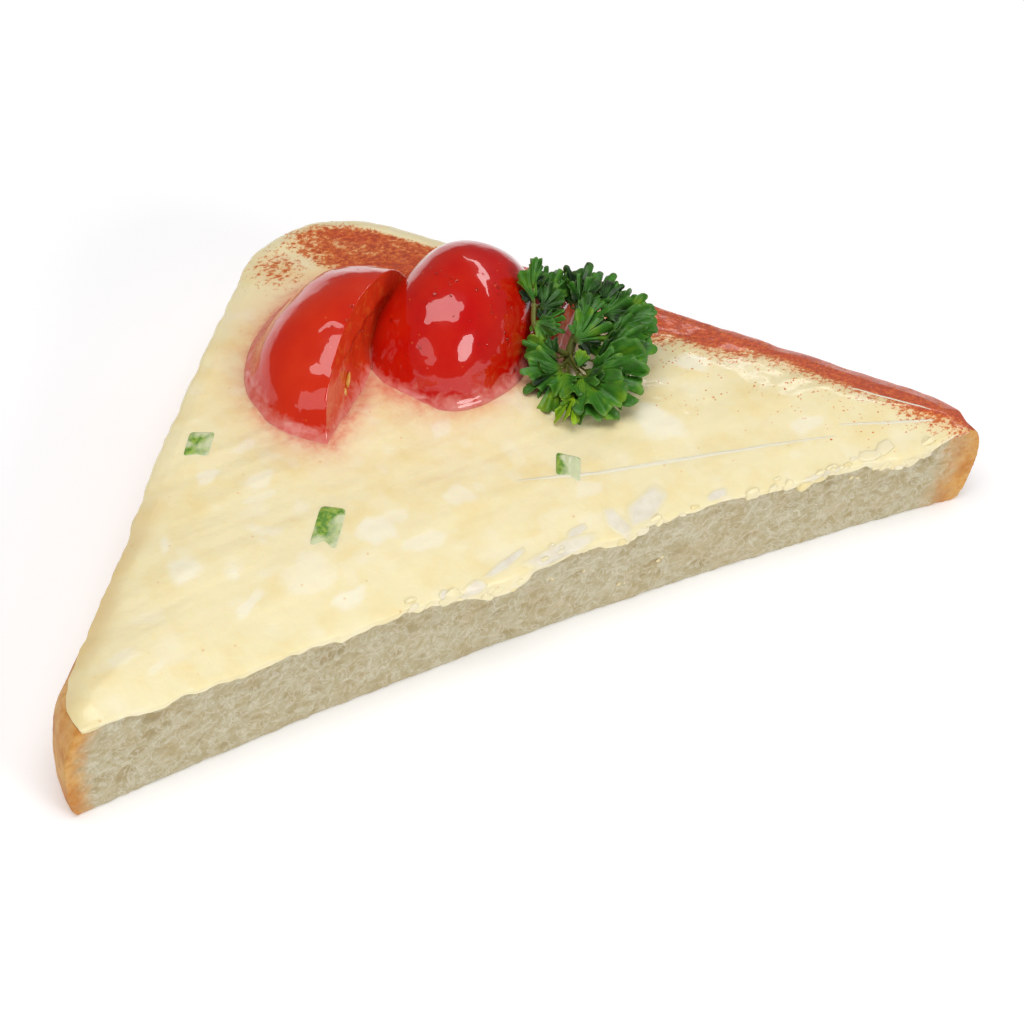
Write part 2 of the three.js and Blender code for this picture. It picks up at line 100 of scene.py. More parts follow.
def toPart(points):
    # plan millimetres to metres in the part's frame
    return (np.asarray(points, float) + origin) * mm


def linear(hexColour):
    parts = [int(hexColour[i:i + 2], 16) / 255 for i in (1, 3, 5)]
    return [p / 12.92 if p <= 0.04045 else ((p + 0.055) / 1.055) ** 2.4 for p in parts] + [1.0]


def patternScale(size):
    # texture scale for features of that many millimetres
    return 1 / (size * mm)


def addNode(tree, kind, inputs=None, **settings):
    # an input is a value, a hex colour, a node or one of its sockets; a colour mix has its share
    # at 0, its colours at 6 and 7 and its result at 2; a range goes from 1..2 to 3..4
    node = tree.nodes.new("ShaderNode" + kind)
    if kind == "Mix":
        node.data_type = "RGBA"
    for name, value in settings.items():
        setattr(node, name, value)
    for name, value in (inputs or {}).items():
        if isinstance(value, bpy.types.Node):
            value = value.outputs[2 if value.bl_idname == "ShaderNodeMix" else 0]
        if isinstance(value, bpy.types.NodeSocket):
            tree.links.new(value, node.inputs[name])
        else:
            node.inputs[name].default_value = linear(value) if isinstance(value, str) else value
    return node


def newMaterial(name):
    # with what adds its nodes, the place on the piece and the three masks of its points
    material = bpy.data.materials.new(name)
    material.use_nodes = True
    tree = material.node_tree
    tree.nodes.clear()
    node = partial(addNode, tree)
    masks = node("SeparateColor", {0: node("Attribute", attribute_name="masks")})
    return material, node, node("TexCoord").outputs["Object"], masks.outputs


def layer(node, under, over, pattern, low, high, most=1.0):
    # one colour over another where the pattern rises from low to high
    return node("Mix", {0: node("MapRange", {0: pattern, 1: low, 2: high, 4: most}), 6: under, 7: over})


def softNoise(points, size, seed):
    # smooth repeatable noise from -1 to 1 with features of that size
    place = np.asarray(points, float) / size + seed * 7.31
    cell = np.floor(place).astype(np.int64)
    part = place - cell
    part = part * part * (3 - 2 * part)
    total = np.zeros(len(place))
    for corner in itertools.product((0, 1), repeat=3):
        key = cell + corner
        mixed = (key[:, 0] * 73856093) ^ (key[:, 1] * 19349663) ^ (key[:, 2] * 83492791) ^ (seed * 6971)
        mixed = (mixed & 0xFFFFFFFF) * 1274126177 & 0xFFFFFFFF
        mixed = ((mixed ^ (mixed >> 15)) * 2246822519) & 0xFFFFFFFF
        value = (mixed >> 8 & 0xFFFF) / 32767.5 - 1
        weight = np.prod(np.where(corner, part, 1 - part), axis=1)
        total += value * weight
    return total


def planNoise(x, y, size, seed):
    return softNoise(np.stack([x, y, np.zeros_like(x)], axis=-1).reshape(-1, 3), size, seed).reshape(x.shape)


def smoothStep(value, low, high):
    share = np.clip((value - low) / (high - low), 0, 1)
    return share * share * (3 - 2 * share)


def bump(distance, spread):
    return np.exp(-((distance / spread) ** 2))


def mix(a, b, share):
    return a + (b - a) * share


def turned(x, y, degrees):
    # how far x, y lies along a direction at that angle to X, and how far to its left
    c, s = math.cos(math.radians(degrees)), math.sin(math.radians(degrees))
    return x * c + y * s, y * c - x * s


def around(count):
    return np.arange(count) / count * 2 * math.pi


def squareness(angle, power):
    # how much farther than a circle a squared-off ring reaches at each angle
    return (np.abs(np.cos(angle)) ** power + np.abs(np.sin(angle)) ** power) ** (-1 / power)


def roundRings(count, latitudes, power=1.0):
    # rings of a unit ball; a power below 1 flattens its sides
    def flat(value):
        return np.sign(value) * np.abs(value) ** power

    return np.array([np.stack([flat(np.cos(lat)) * flat(np.cos(around(count))),
                               flat(np.cos(lat)) * flat(np.sin(around(count))),
                               np.full(count, flat(np.sin(lat)))], 1) for lat in np.radians(latitudes)])


def tilted(turn, elevation, roll):
    # the attitude of something that looks down at that elevation, turned about the upright and rolled
    angles = zip((turn, 90 - elevation, roll), "ZXZ")
    first, second, third = (Matrix.Rotation(math.radians(angle), 3, axis) for angle, axis in angles)
    return first @ second @ third


def skinRings(rings, first, last):
    # rings of points, anticlockwise about the way they follow each other, closed at both ends
    rings = np.array(rings)
    levels, count = rings.shape[:2]
    here = np.arange(count)
    there = (here + 1) % count
    blocks = [np.stack([k + here, k + there, k + count + there, k + count + here], 1)
              for k in range(0, (levels - 1) * count, count)]
    foot = np.full(count, levels * count)
    top = (levels - 1) * count
    blocks += [np.stack([foot, there, here], 1), np.stack([foot + 1, top + here, top + there], 1)]
    points = np.concatenate([rings.reshape(-1, 3), [first], [last]])
    return points, [face for block in blocks for face in block.tolist()]


def joinShapes(shapes):
    # several (points, faces, masks) as one
    faces, offset = [], 0
    for points, someFaces, _ in shapes:
        faces += [[offset + i for i in face] for face in someFaces]
        offset += len(points)
    points, masks = (np.concatenate([shape[k] for shape in shapes]) for k in (0, 2))
    return points, faces, masks


def addObject(name, data):
    item = bpy.data.objects.new(name, data)
    bpy.context.scene.collection.objects.link(item)
    return item


def addPiece(name, shape, material, replaced=()):
    points, faces, masks = shape
    mesh = bpy.data.meshes.new(name)
    mesh.from_pydata(toPart(points).tolist(), [], faces)
    colours = np.column_stack([masks, np.ones(len(points))]).astype(np.float32)
    mesh.color_attributes.new("masks", "FLOAT_COLOR", "POINT").data.foreach_set("color", colours.ravel())
    mesh.shade_smooth()
    mesh.materials.append(material)
    piece = addObject(name, mesh)
    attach(piece, "root")
    if replaced:
        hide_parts(*replaced)


def sliceOutline(cutStep, crustStep, lean=0.0):
    # the half slice in plan, anticlockwise from the left end of the cut, its tips facing out by lean
    root2 = math.sqrt(2)
    left, back, right = toast["cornerLeft"], toast["cornerBack"], toast["cornerRight"]

    def arc(x, y, radius, start, end):
        return lambda t: np.stack([x + radius * np.cos(np.radians(mix(start, end, t))),
                                   y + radius * np.sin(np.radians(mix(start, end, t)))], 1)

    def line(a, b):
        return lambda t: mix(a, b, t[:, None])

    rightTip = arc(half - right * root2, 0, right, 0, 45)
    backCorner = arc(0, half - back * root2, back, 45, 135)
    leftTip = arc(-half + left * root2, 0, left, 135, 180)
    ends = np.array([0.0, 1.0])
    bow = np.array([0.0, 2 * toast["cutSag"]])
    toBow, fromBow = line(leftTip(ends)[1], bow), line(bow, rightTip(ends)[0])
    sides = {
        "cut": lambda t: mix(toBow(t), fromBow(t), t[:, None]),
        "rightTip": rightTip,
        "rightLeg": line(rightTip(ends)[1], backCorner(ends)[0]),
        "back": backCorner,
        "leftLeg": line(backCorner(ends)[1], leftTip(ends)[0]),
        "leftTip": leftTip,
    }
    places, names, shares = [], [], []
    for name, curve in sides.items():
        length = np.hypot(*np.diff(curve(np.linspace(0, 1, 200)), axis=0).T).sum()
        count = math.ceil(length / (cutStep if name == "cut" else crustStep))
        shares.append(np.arange(count) / count)
        places.append(curve(shares[-1]))
        names += [name] * count
    places, names = np.concatenate(places), np.array(names)
    run = np.roll(places, -1, axis=0) - np.roll(places, 1, axis=0)
    runX, runY = (run / np.hypot(*run.T)[:, None]).T
    out = np.stack([runY, -runX], 1)
    out[0], out[np.argmax(names == "rightTip")] = (-1, -lean), (1, -lean)
    names[0] = "leftTip"
    return {"x": places[:, 0], "y": places[:, 1], "outX": out[:, 0], "outY": out[:, 1],
            "side": names, "share": np.concatenate(shares)}


def breadTop(x):
    share = (x + half) / (2 * half)
    return mix(toast["thickLeft"], toast["thickRight"], share) + toast["loft"] * 4 * share * (1 - share)


def pressPores(depth, along, heights, radii, rng, spread):
    # presses round hollows of those radii into a grid of depths
    def span(axis, place, reach):
        step = axis[1] - axis[0]
        low, high = ((place + side * reach - axis[0]) / step for side in (-1, 1))
        return slice(max(0, int(low)), min(len(axis), int(high) + 2))

    for radius in radii:
        x, z = rng.uniform(along[0], along[-1]), rng.uniform(heights[0], heights[-1])
        reach, turn = radius * rng.uniform(1.0, 1.9) * spread, rng.uniform(-0.6, 0.6)
        window = span(heights, z, reach), span(along, x, reach)
        u, v = turned(along[window[1]] - x, heights[window[0]][:, None] - z, math.degrees(turn))
        bowl = radius * toast["poreDepth"] * np.clip(1 - (u / reach) ** 2 - (v / radius) ** 2, 0, 1) ** 0.6
        depth[window] = np.maximum(depth[window], bowl)


def breadShape():
    rng = np.random.default_rng(11)
    outline = sliceOutline(toast["cutStep"], toast["crustStep"], toast["tipLean"])
    x, y, cut = outline["x"], outline["y"], outline["side"] == "cut"
    top, widest = breadTop(x), toast["widestAt"]
    shares = np.linspace(0, 1, int(toast["thickLeft"] / toast["levelStep"]) + 1)
    depth = np.zeros((len(shares), int(cut.sum())))
    for count, radius, vary, spread in toast["pores"]:
        radii = rng.lognormal(math.log(radius), vary, count)
        along = np.arange(cut.sum()) * toast["cutStep"]
        pressPores(depth, along, shares * toast["thickLeft"], radii, rng, spread)
    fromTip = np.minimum(x - x.min(), (x.max() - x) * 0.5)
    rings, masks = [], []
    for share, pores in zip(shares, depth):
        z = share * top
        taper = toast["crustTaper"] * (max(0, widest - share) / widest) ** 1.5
        inset = taper + toast["crustRound"] * (max(0, share - widest) / (1 - widest)) ** 2
        rounded = toast["edgeRound"] * (1.8 * np.exp(-z / 0.5) + np.exp(-(top - z) / 0.35))
        place = np.stack([x, y, z], 1)
        dents = sum(tall * softNoise(place, size, seed)
                    for tall, size, seed in ((0.22, 7, 3), (0.10, 2.2, 4), (0.05, 0.9, 5)))
        strands = sum(tall * (1 - 2 * np.abs(softNoise(place, size, seed)))
                      for tall, size, seed in ((0.09, 1.7, 6), (0.04, 0.8, 7)))
        hollow = np.zeros(len(x))
        hollow[cut] = pores * smoothStep(z[cut], -0.6, 2.2)
        torn = hollow + 0.5 * rounded - 0.12 + 0.35 * dents - strands
        inward = np.where(cut, torn, inset + rounded + dents)
        slide = np.where(cut, (inset + rounded) * (1 - 2 * outline["share"]), 0)
        rings.append(np.stack([x - inward * outline["outX"] + slide, y - inward * outline["outY"], z], 1))
        fringe = 0.5 * softNoise(place, 2.5, 8) + 0.4 * softNoise(place, 0.9, 9)
        crust = np.where(cut, 1 - smoothStep(fromTip + fringe, 0.2, 4.2), 1.0)
        dusted = np.where(cut, 0, smoothStep(x, 36, 44) * smoothStep(share, 0.72, 0.94))
        # the second mask is each pore's depth, which the material paints darker as painted shade
        masks.append(np.stack([crust, np.clip(hollow / 0.3, 0, 1), dusted], 1))
    middle = np.array([0.0, half / 3])
    foot, rim = rings[0][:, :2] - middle, rings[-1][:, :2] - middle
    for share, browned in ((0.985, 0.75), (0.96, 0.25), (0.9, 0), (0.65, 0), (0.35, 0)):
        plan, bare = middle + rim * share, np.full(len(x), browned)
        rings = [np.column_stack([middle + foot * share, 0 * x]), *rings,
                 np.column_stack([plan, breadTop(plan[:, 0]) + 0.02])]
        dusted = smoothStep(plan[:, 0], 50, 56) * smoothStep(plan[:, 1], 0.8, 2.0)
        masks = [np.stack([bare, 0 * x, 0 * x], 1), *masks, np.stack([bare, 0 * x, dusted], 1)]
    points, faces = skinRings(rings, [*middle, 0.0], [*middle, breadTop(0.0)])
    return points, faces, np.concatenate([*masks, np.zeros((2, 3))])


crumbLook = {
    "wall": "#c6bda0",
    "crumb": "#b9ac88",
    "fleck": "#d2cab2",
    "film": "#e0dbc9",
    # painted shade for the insides of the pores, laid on by their depth
    "poreShade": "#a9966c",
    "shade": "#b89f6e",
    "crust": "#c98134",
    "crustDark": "#9a4c1a",
    "crustPale": "#dfa95c",
    "paprika": "#b23a1e",
    "cell": 1.5,  # width of the cells in mm
    "strand": 0.5,
    "web": 2.0,
    "grain": 0.2,
    "blotch": 4.5,
    "roughness": 0.88,
    "crustRoughness": 0.55,
}


def ovenBakedBread():
    # White toasting bread, baked in a tin and cut with a knife: a dull crumb of torn cells and a
    # satin crust, browned unevenly, with paprika on it at the right tip.
    look = crumbLook
    material, node, place, masks = newMaterial("ovenBakedBread")
    noises = (("cell", 4.0, 0.65, 0.0), ("strand", 3.0, 0.5, 0.8), ("web", 3.0, 0.5, 1.2),
              ("blotch", 2.0, 0.5, 0.0), ("grain", 2.0, 0.5, 0.0))
    cells, strands, webs, blotches, grain = (node("TexNoise", {
        "Vector": place, "Scale": patternScale(look[name]), "Detail": detail, "Roughness": rough,
        "Distortion": twist}) for name, detail, rough, twist in noises)
    light = layer(node, look["crumb"], look["wall"], cells, 0.42, 0.6)
    # painted shade: the crumb darkens with the depth of its pores
    poreShaded = layer(node, light, look["poreShade"], masks[1], 0.25, 1.0, 0.75)
    flecked = layer(node, poreShaded, look["fleck"], strands, 0.54, 0.72, 0.4)
    fromWeb = node("Math", {0: node("Math", {0: webs, 1: 0.5}, operation="SUBTRACT")}, operation="ABSOLUTE")
    webbed = layer(node, flecked, look["film"], fromWeb, 0.05, 0.0, 0.5)
    crumb = layer(node, webbed, look["shade"], blotches, 0.5, 0.75, 0.35)
    brown = layer(node, look["crustPale"], look["crust"], blotches, 0.35, 0.68)
    crust = layer(node, brown, look["crustDark"], cells, 0.46, 0.7, 0.4)
    crustGrain = node("Math", {0: cells, 1: 1.1, 2: masks[0]}, operation="MULTIPLY_ADD")
    baked = layer(node, crumb, crust, crustGrain, 0.65, 1.6)
    dustGrain = node("Math", {0: strands, 1: 1.8, 2: masks[2]}, operation="MULTIPLY_ADD")
    colour = layer(node, baked, look["paprika"], dustGrain, 1.4, 1.6, 0.9)
    roughness = node("MapRange", {0: masks[0], 3: look["roughness"], 4: look["crustRoughness"]})
    fineBump = node("Bump", {"Height": grain, "Strength": 0.5, "Distance": 0.1 * mm})
    cellBump = node("Bump", {"Height": cells, "Strength": 0.35, "Distance": 0.3 * mm, "Normal": fineBump})
    shader = node("BsdfPrincipled", {
        "Base Color": colour, "Roughness": roughness, "IOR": 1.45, "Specular IOR Level": 0.25,
        "Subsurface Weight": 0.1, "Subsurface Radius": (1.0, 0.8, 0.5), "Subsurface Scale": 0.8 * mm,
        "Normal": cellBump})
    node("OutputMaterial", {"Surface": shader})
    return material


breadForm = breadShape()
addPiece("breadSlice", breadForm, ovenBakedBread(), ["bread"])
breadSurface = BVHTree.FromPolygons(breadForm[0].tolist(), breadForm[1])
print("bread done")

# The egg salad layer.
salad = {
    "rim": 0.5,
    "rimSlope": 0.055,
    "rimStart": 12,
    "crown": 2.6,
    "rimRun": 5,
    "swell": 0.3,
    "lipReach": 0.7,
    "lipClear": 0.1,  # gap between the lip and the cut
    "tipRun": 14,
    "edgeAt": (0, 4, 12, 24, 36),  # distances from the cut at which the next two hold
    "edgeLeft": (-1.9, -1.3, -1.1, -0.7, 0.5),  # reach over the crust's outline
    "edgeRight": (-2.6, -1.3, -0.6, 0.0, 0.6),
    "filletRise": 0.45,
    "filletRun": 1.5,
    "middle": (3, 34),
    "cutStep": 0.4,
    "crustStep": 0.6,
    "rings": 84,
    "streakLength": 24,  # knife streaks
    "streakWidth": 1.7,
    "streakDepth": 0.09,
    "lumpSize": 3.4,
    "lumpHeight": 0.1,
}
sags = [(-52, 6, 0.5), (-40, 6, 1.3), (-26, 6, 1.5), (-14, 5.5, 2.0), (-5.5, 4.5, 4.2),
        (9.5, 5, 2.0), (38, 7, 1.3), (58, 9, 3.8)]  # place, spread, depth
topLumps = [(-42, 16, 4.5, 0.5), (-29, 11, 5.5, 0.6), (-26, 26, 4.0, 0.4), (-5, 14, 4.0, 0.4),
            (24, 16, 4.5, 0.5), (34, 23.5, 4.2, 0.7)]  # x, y, radius, height
tomatoSink = 0.6
tomatoes = {
    "tomato_left": {"at": (-6.8, 39.5), "half": (15, 11.3, 12.2), "turn": 38.8, "base": 15.8,
                    "cut": (-3.2, 14), "pocket": (10, 0.5, 3.4, 5.2), "tone": 0.75, "seed": 21},
    "tomato_middle": {"at": (7.6, 38.4), "half": (13.4, 9.7, 13.4), "turn": 32, "base": 15.8,
                      "cut": None, "pocket": None, "tone": 0.2, "seed": 34},
    "tomato_back": {"at": (19.5, 36.2), "half": (7.4, 5.2, 5.6), "turn": 40, "base": 15.8,
                    "cut": (-3.6, 10), "pocket": None, "tone": 0.4, "seed": 47},
}


def footprintDistance(tomato, x, y):
    long, wide, _ = tomato["half"]
    along, across = turned(x - tomato["at"][0], y - tomato["at"][1], tomato["turn"])
    return (np.hypot(along / long, across / wide) - 1) * wide


def edgeReach(x, y):
    # how far the salad overhangs the crust's outline
    left, right = (np.interp(y, salad["edgeAt"], salad[side]) for side in ("edgeLeft", "edgeRight"))
    return np.where(x > 0, right, left)


coarse = sliceOutline(0.5, 0.5)
coarseReach = np.where(coarse["side"] == "cut", 0.0, edgeReach(coarse["x"], coarse["y"]))
coarsePlan = np.stack([coarse["x"], coarse["y"]], 1)


def tomatoDistance(tomato, x, y):
    # the distance from what the knife has left of a tomato, at its foot
    across = turned(x - tomato["at"][0], y - tomato["at"][1], tomato["turn"])[1]
    return np.maximum(footprintDistance(tomato, x, y), tomato["cut"][0] - across if tomato["cut"] else -99)


def nearestTomato(x, y):
    return np.min([tomatoDistance(tomato, x, y) for tomato in tomatoes.values()], axis=0)


def distanceInside(x, y):
    # the distance from the salad's own edge
    flat = np.stack([np.ravel(x), np.ravel(y)], 1)
    least = [(np.hypot(*(block[:, None] - coarsePlan[None]).transpose(2, 0, 1)) + coarseReach).min(1)
             for block in np.array_split(flat, max(1, len(flat) // 4000))]
    return np.maximum(0, np.concatenate(least)).reshape(np.shape(x))


def saladHeight(x, y, inside):
    rim = salad["rim"] + salad["rimSlope"] * np.maximum(0, y - salad["rimStart"])
    calm = 1 - np.exp(-inside / salad["rimRun"])
    height = mix(rim, np.maximum(salad["crown"], rim + 0.3), calm)
    height = height + salad["swell"] * calm * np.sin(x / 7 + y / 11) * np.cos(y / 6 - x / 17)
    for lumpX, lumpY, radius, tall in topLumps:
        height = height + tall * calm * bump(np.hypot(x - lumpX, y - lumpY), radius)
    for tomato in tomatoes.values():
        away = np.maximum(0, footprintDistance(tomato, x, y) - 0.8)
        height = height + salad["filletRise"] * np.exp(-away / salad["filletRun"])
    return height


def saladRelief(x, y, inside):
    # knife streaks along the cut and the softer lumps of the chopped egg
    width, lump = salad["streakWidth"], salad["lumpSize"]
    along, across = turned(x, y, 4)
    along = along * width / salad["streakLength"]
    streaks = planNoise(along, across, width, 13) + 0.5 * planNoise(along, across, 0.45 * width, 14)
    lumps = planNoise(x, y, lump, 15) + 0.5 * planNoise(x, y, 0.45 * lump, 16)
    calm = 0.25 + 0.75 * (1 - np.exp(-inside / 3))
    return calm * (salad["streakDepth"] * streaks + salad["lumpHeight"] * lumps)


def saladTopAt(x, y):
    x, y = np.asarray(x, float), np.asarray(y, float)
    inside = distanceInside(x, y)
    return breadTop(x) + saladHeight(x, y, inside) + saladRelief(x, y, inside)


def ringsBetween(controls, parts):
    # Catmull-Rom rings, or points, through the given ones
    controls = np.array(controls, float)
    padded = [2 * controls[0] - controls[1], *controls, 2 * controls[-1] - controls[-2]]
    rings = []
    for a, b, c, d in zip(padded, padded[1:], padded[2:], padded[3:]):
        square, cube = 2 * a - 5 * b + 4 * c - d, 3 * b - a - 3 * c + d
        for t in np.arange(parts) / parts:
            rings.append(0.5 * (2 * b + (c - a) * t + square * t ** 2 + cube * t ** 3))
    return np.array([*rings, controls[-1]])


whitePatches = [  # place, half length and width, turn
    (-42.4, 15.8, 2.2, 3.0, -25), (-28.7, 9.6, 4.2, 3.0, 10), (-26.9, 25.5, 2.6, 1.3, 20),
    (-18.4, 12.5, 2.2, 2.4, 0), (-14.4, 13.6, 2.0, 1.2, 0), (-5.4, 13.4, 2.8, 1.8, -15),
    (23.9, 14.8, 4.0, 2.5, -35), (9.8, 8.9, 2.3, 1.4, 0), (-13.2, 9.0, 3.2, 1.6, 0),
    (-26.0, 4.9, 2.8, 1.2, 5), (-54.7, 7.0, 2.2, 1.3, 10), (42.0, 8.0, 2.8, 1.4, 5),
    (33.3, 22.6, 3.2, 1.8, -30), (14.5, 21.5, 2.8, 1.4, -20), (-30.2, 17.6, 3.0, 0.8, -32),
    (-32.1, 29.1, 2.4, 1.0, 20), (-24.6, 19.5, 1.6, 1.5, 15), (-26.1, 31.7, 1.8, 0.8, 10),
    (-37.3, 13.3, 0.7, 1.5, 10), (-51.5, 4.3, 2.2, 0.6, 20), (-42.3, 20.8, 0.8, 1.6, -20),
    (-37.8, 8.2, 3.0, 0.9, 35), (-28.5, 23.1, 2.8, 0.7, 0), (-2.4, 24.7, 2.2, 1.4, 30),
]
paprikaBand = {"at": (28, 36, 43, 48, 57, 62), "inner": (6.6, 6.4, 4.8, 5.0, 6.0, 5.2)}
backPatch = {"at": (7, 54.5), "half": (15, 6.2), "turn": -37.6, "most": 0.94}


def polygonReach(angle, corners, seed):
    # the outline of a roughly cut chip: distance from its middle at each angle
    rough = 0.28
    rng = np.random.default_rng(seed)
    facing = (np.arange(corners) + rng.uniform(-rough, rough, corners)) * 2 * math.pi / corners
    away = rng.uniform(1 - rough, 1.0, corners)
    pull = np.clip(np.cos(angle[..., None] - facing), 0, None) / away
    return (pull ** 14).sum(-1) ** (-1 / 14)


def paprikaDensity(x, y):
    # dense along the right leg, patchy at the back corner, with a scatter inwards from both
    fromRight, fromLeft = (half - x - y) / math.sqrt(2), (half + x - y) / math.sqrt(2)
    inner = np.interp(x, paprikaBand["at"], paprikaBand["inner"]) + 1.2 * planNoise(x, y, 3.0, 37)
    band = (1 - smoothStep(fromRight, inner - 1.6, inner + 1.3)) * smoothStep(x, 15, 23)
    scatter = 0.62 * np.exp(-np.maximum(0, fromRight - inner) / 4.5) * smoothStep(x, 12, 20)
    along, across = turned(x - backPatch["at"][0], y - backPatch["at"][1], backPatch["turn"])
    away = np.hypot(along / backPatch["half"][0], across / backPatch["half"][1])
    offCrust = smoothStep(fromRight, 1.0, 2.4) * smoothStep(fromLeft, 0.6, 2.4)
    patch = (1 - smoothStep(away, 0.5, 1.3)) * offCrust
    patch = patch * (backPatch["most"] + 0.2 * planNoise(along / 2, across, 2.4, 38))
    side = 0.6 * bump(np.hypot(x + 7.5, y - 58), 5.5)
    return np.clip(np.max([band, scatter, patch, side], axis=0), 0, 1)


def saladMasks(points):
    x, y, _ = points.T
    ragged = 0.4 * planNoise(x, y, 2.6, 31) + 0.12 * planNoise(x, y, 0.9, 32)
    stain = 0.75 * np.exp(-np.clip(nearestTomato(x, y) - 0.9 + ragged, 0, 99) / 1.3)
    white = 0.4 * smoothStep(planNoise(x, y, 2.4, 36), 0.3, 0.8)
    blur = 0.3 * planNoise(x, y, 1.5, 35)
    for i, (patchX, patchY, long, wide, turn) in enumerate(whitePatches):
        along, across = turned(x - patchX, y - patchY, turn)
        reach = polygonReach(np.arctan2(across / wide, along / long), 5 + i % 3, 200 + i)
        away = np.hypot(along / long, across / wide) / reach + blur
        white = np.maximum(white, (0.9, 0.6, 0.75)[i % 3] * (1 - smoothStep(away, 0.68, 1.14)))
    # below 0 the salad is thin and the crust shows through it
    fromLeft = (half + x - y) / math.sqrt(2) + 1.2 * planNoise(x, y, 4.0, 39)
    thin = (1 - smoothStep(fromLeft, 0.8, 4.8)) * (1 - smoothStep(y, 20, 34))
    return np.stack([stain, paprikaDensity(x, y), white * (1 - thin) - 0.6 * thin], 1)


def saladShape():
    outline = sliceOutline(salad["cutStep"], salad["crustStep"])
    x, y, cut = outline["x"], outline["y"], outline["side"] == "cut"
    place = np.stack([x, y, 0 * x], 1)
    ragged = sum(tall * softNoise(place, size, seed)
                 for tall, size, seed in ((0.45, 3.4, 51), (0.35, 1.5, 52), (0.15, 0.8, 53)))
    deep = sum(depth * bump(x - at, spread) for at, spread, depth in sags)
    fromLeftTip, fromRightTip = x - x.min(), x.max() - x
    tipBlend = smoothStep(np.minimum(fromLeftTip, fromRightTip), 0.0, salad["tipRun"])
    rightCorner = np.argmax(outline["side"] == "rightTip")
    reach = np.where(cut, salad["lipReach"] + 0.3 * deep, edgeReach(x, y)) + 0.4 * ragged
    drop = np.where(cut, np.maximum(0.05, 0.6 * deep + 0.9 * ragged + 0.25) * tipBlend, 0)
    rim = saladHeight(x, y, 0) + saladRelief(x, y, 0)

    def lip(out, z):
        # near the tips the points along the cut make room for the tip's own inset
        atLeft, atRight = (np.exp(-away / salad["tipRun"]) for away in (fromLeftTip, fromRightTip))
        slide = np.where(cut, out[rightCorner] * atRight - out[0] * atLeft, 0)
        out = np.where(cut, out * tipBlend, out)
        return np.stack([x + out * outline["outX"] + slide, y + out * outline["outY"], breadTop(x) + z], 1)

    foot = lip(np.where(cut, -1.2, reach - 1.6), -0.1)
    middle = np.array(salad["middle"], float)

    def inward(share):
        plan = middle + (foot[:, :2] - middle) * share
        return np.column_stack([plan, saladTopAt(*plan.T)])

    clear = salad["lipClear"]
    lipRings = ringsBetween([
        lip(np.where(cut, clear, reach - 0.9), np.where(cut, -0.6 * drop, -0.1)),
        lip(np.where(cut, np.maximum(clear, 0.8 * reach), reach - 0.3), np.where(cut, -drop, 0.0)),
        lip(reach, np.where(cut, 0.3 - 0.4 * drop, 0.4 * rim)),
        lip(np.where(cut, 0.75 * reach, reach - 0.3), 0.8 * rim),
        inward(0.985),
    ], 4)
    shares = 0.985 * (1 - (np.arange(1, salad["rings"] + 1) / (salad["rings"] + 1)) ** 1.15)
    low = breadTop(middle[0]) - 0.1
    under = np.column_stack([middle + (foot[:, :2] - middle) * 0.5, 0 * x + low])
    rings = [under, foot, *lipRings, *[inward(share) for share in shares]]
    points, faces = skinRings(rings, [*middle, low], [*middle, float(saladTopAt(*middle))])
    return points, faces, saladMasks(points)


saladLook = {
    "cream": "#f5e7b9",
    "yolk": "#f0d792",
    "white": "#f9f2dc",
    "thin": "#dcb878",
    "speck": "#dd9a45",
    "stain": "#dc6a52",
    "paprika": "#d8480f",
    "paprikaDeep": "#ad300b",
    "speckled": "#dd7a2c",
    "oil": "#e2a05c",
    "cloud": 5.0,
    "crumble": 1.1,
    "dust": 0.5,  # breaks up the paprika
    "dustStretch": 1.6,
    "speckGap": 1.9,
    "speckSize": 0.28,
    "roughness": 0.42,
    "glazeRoughness": 0.1,
}


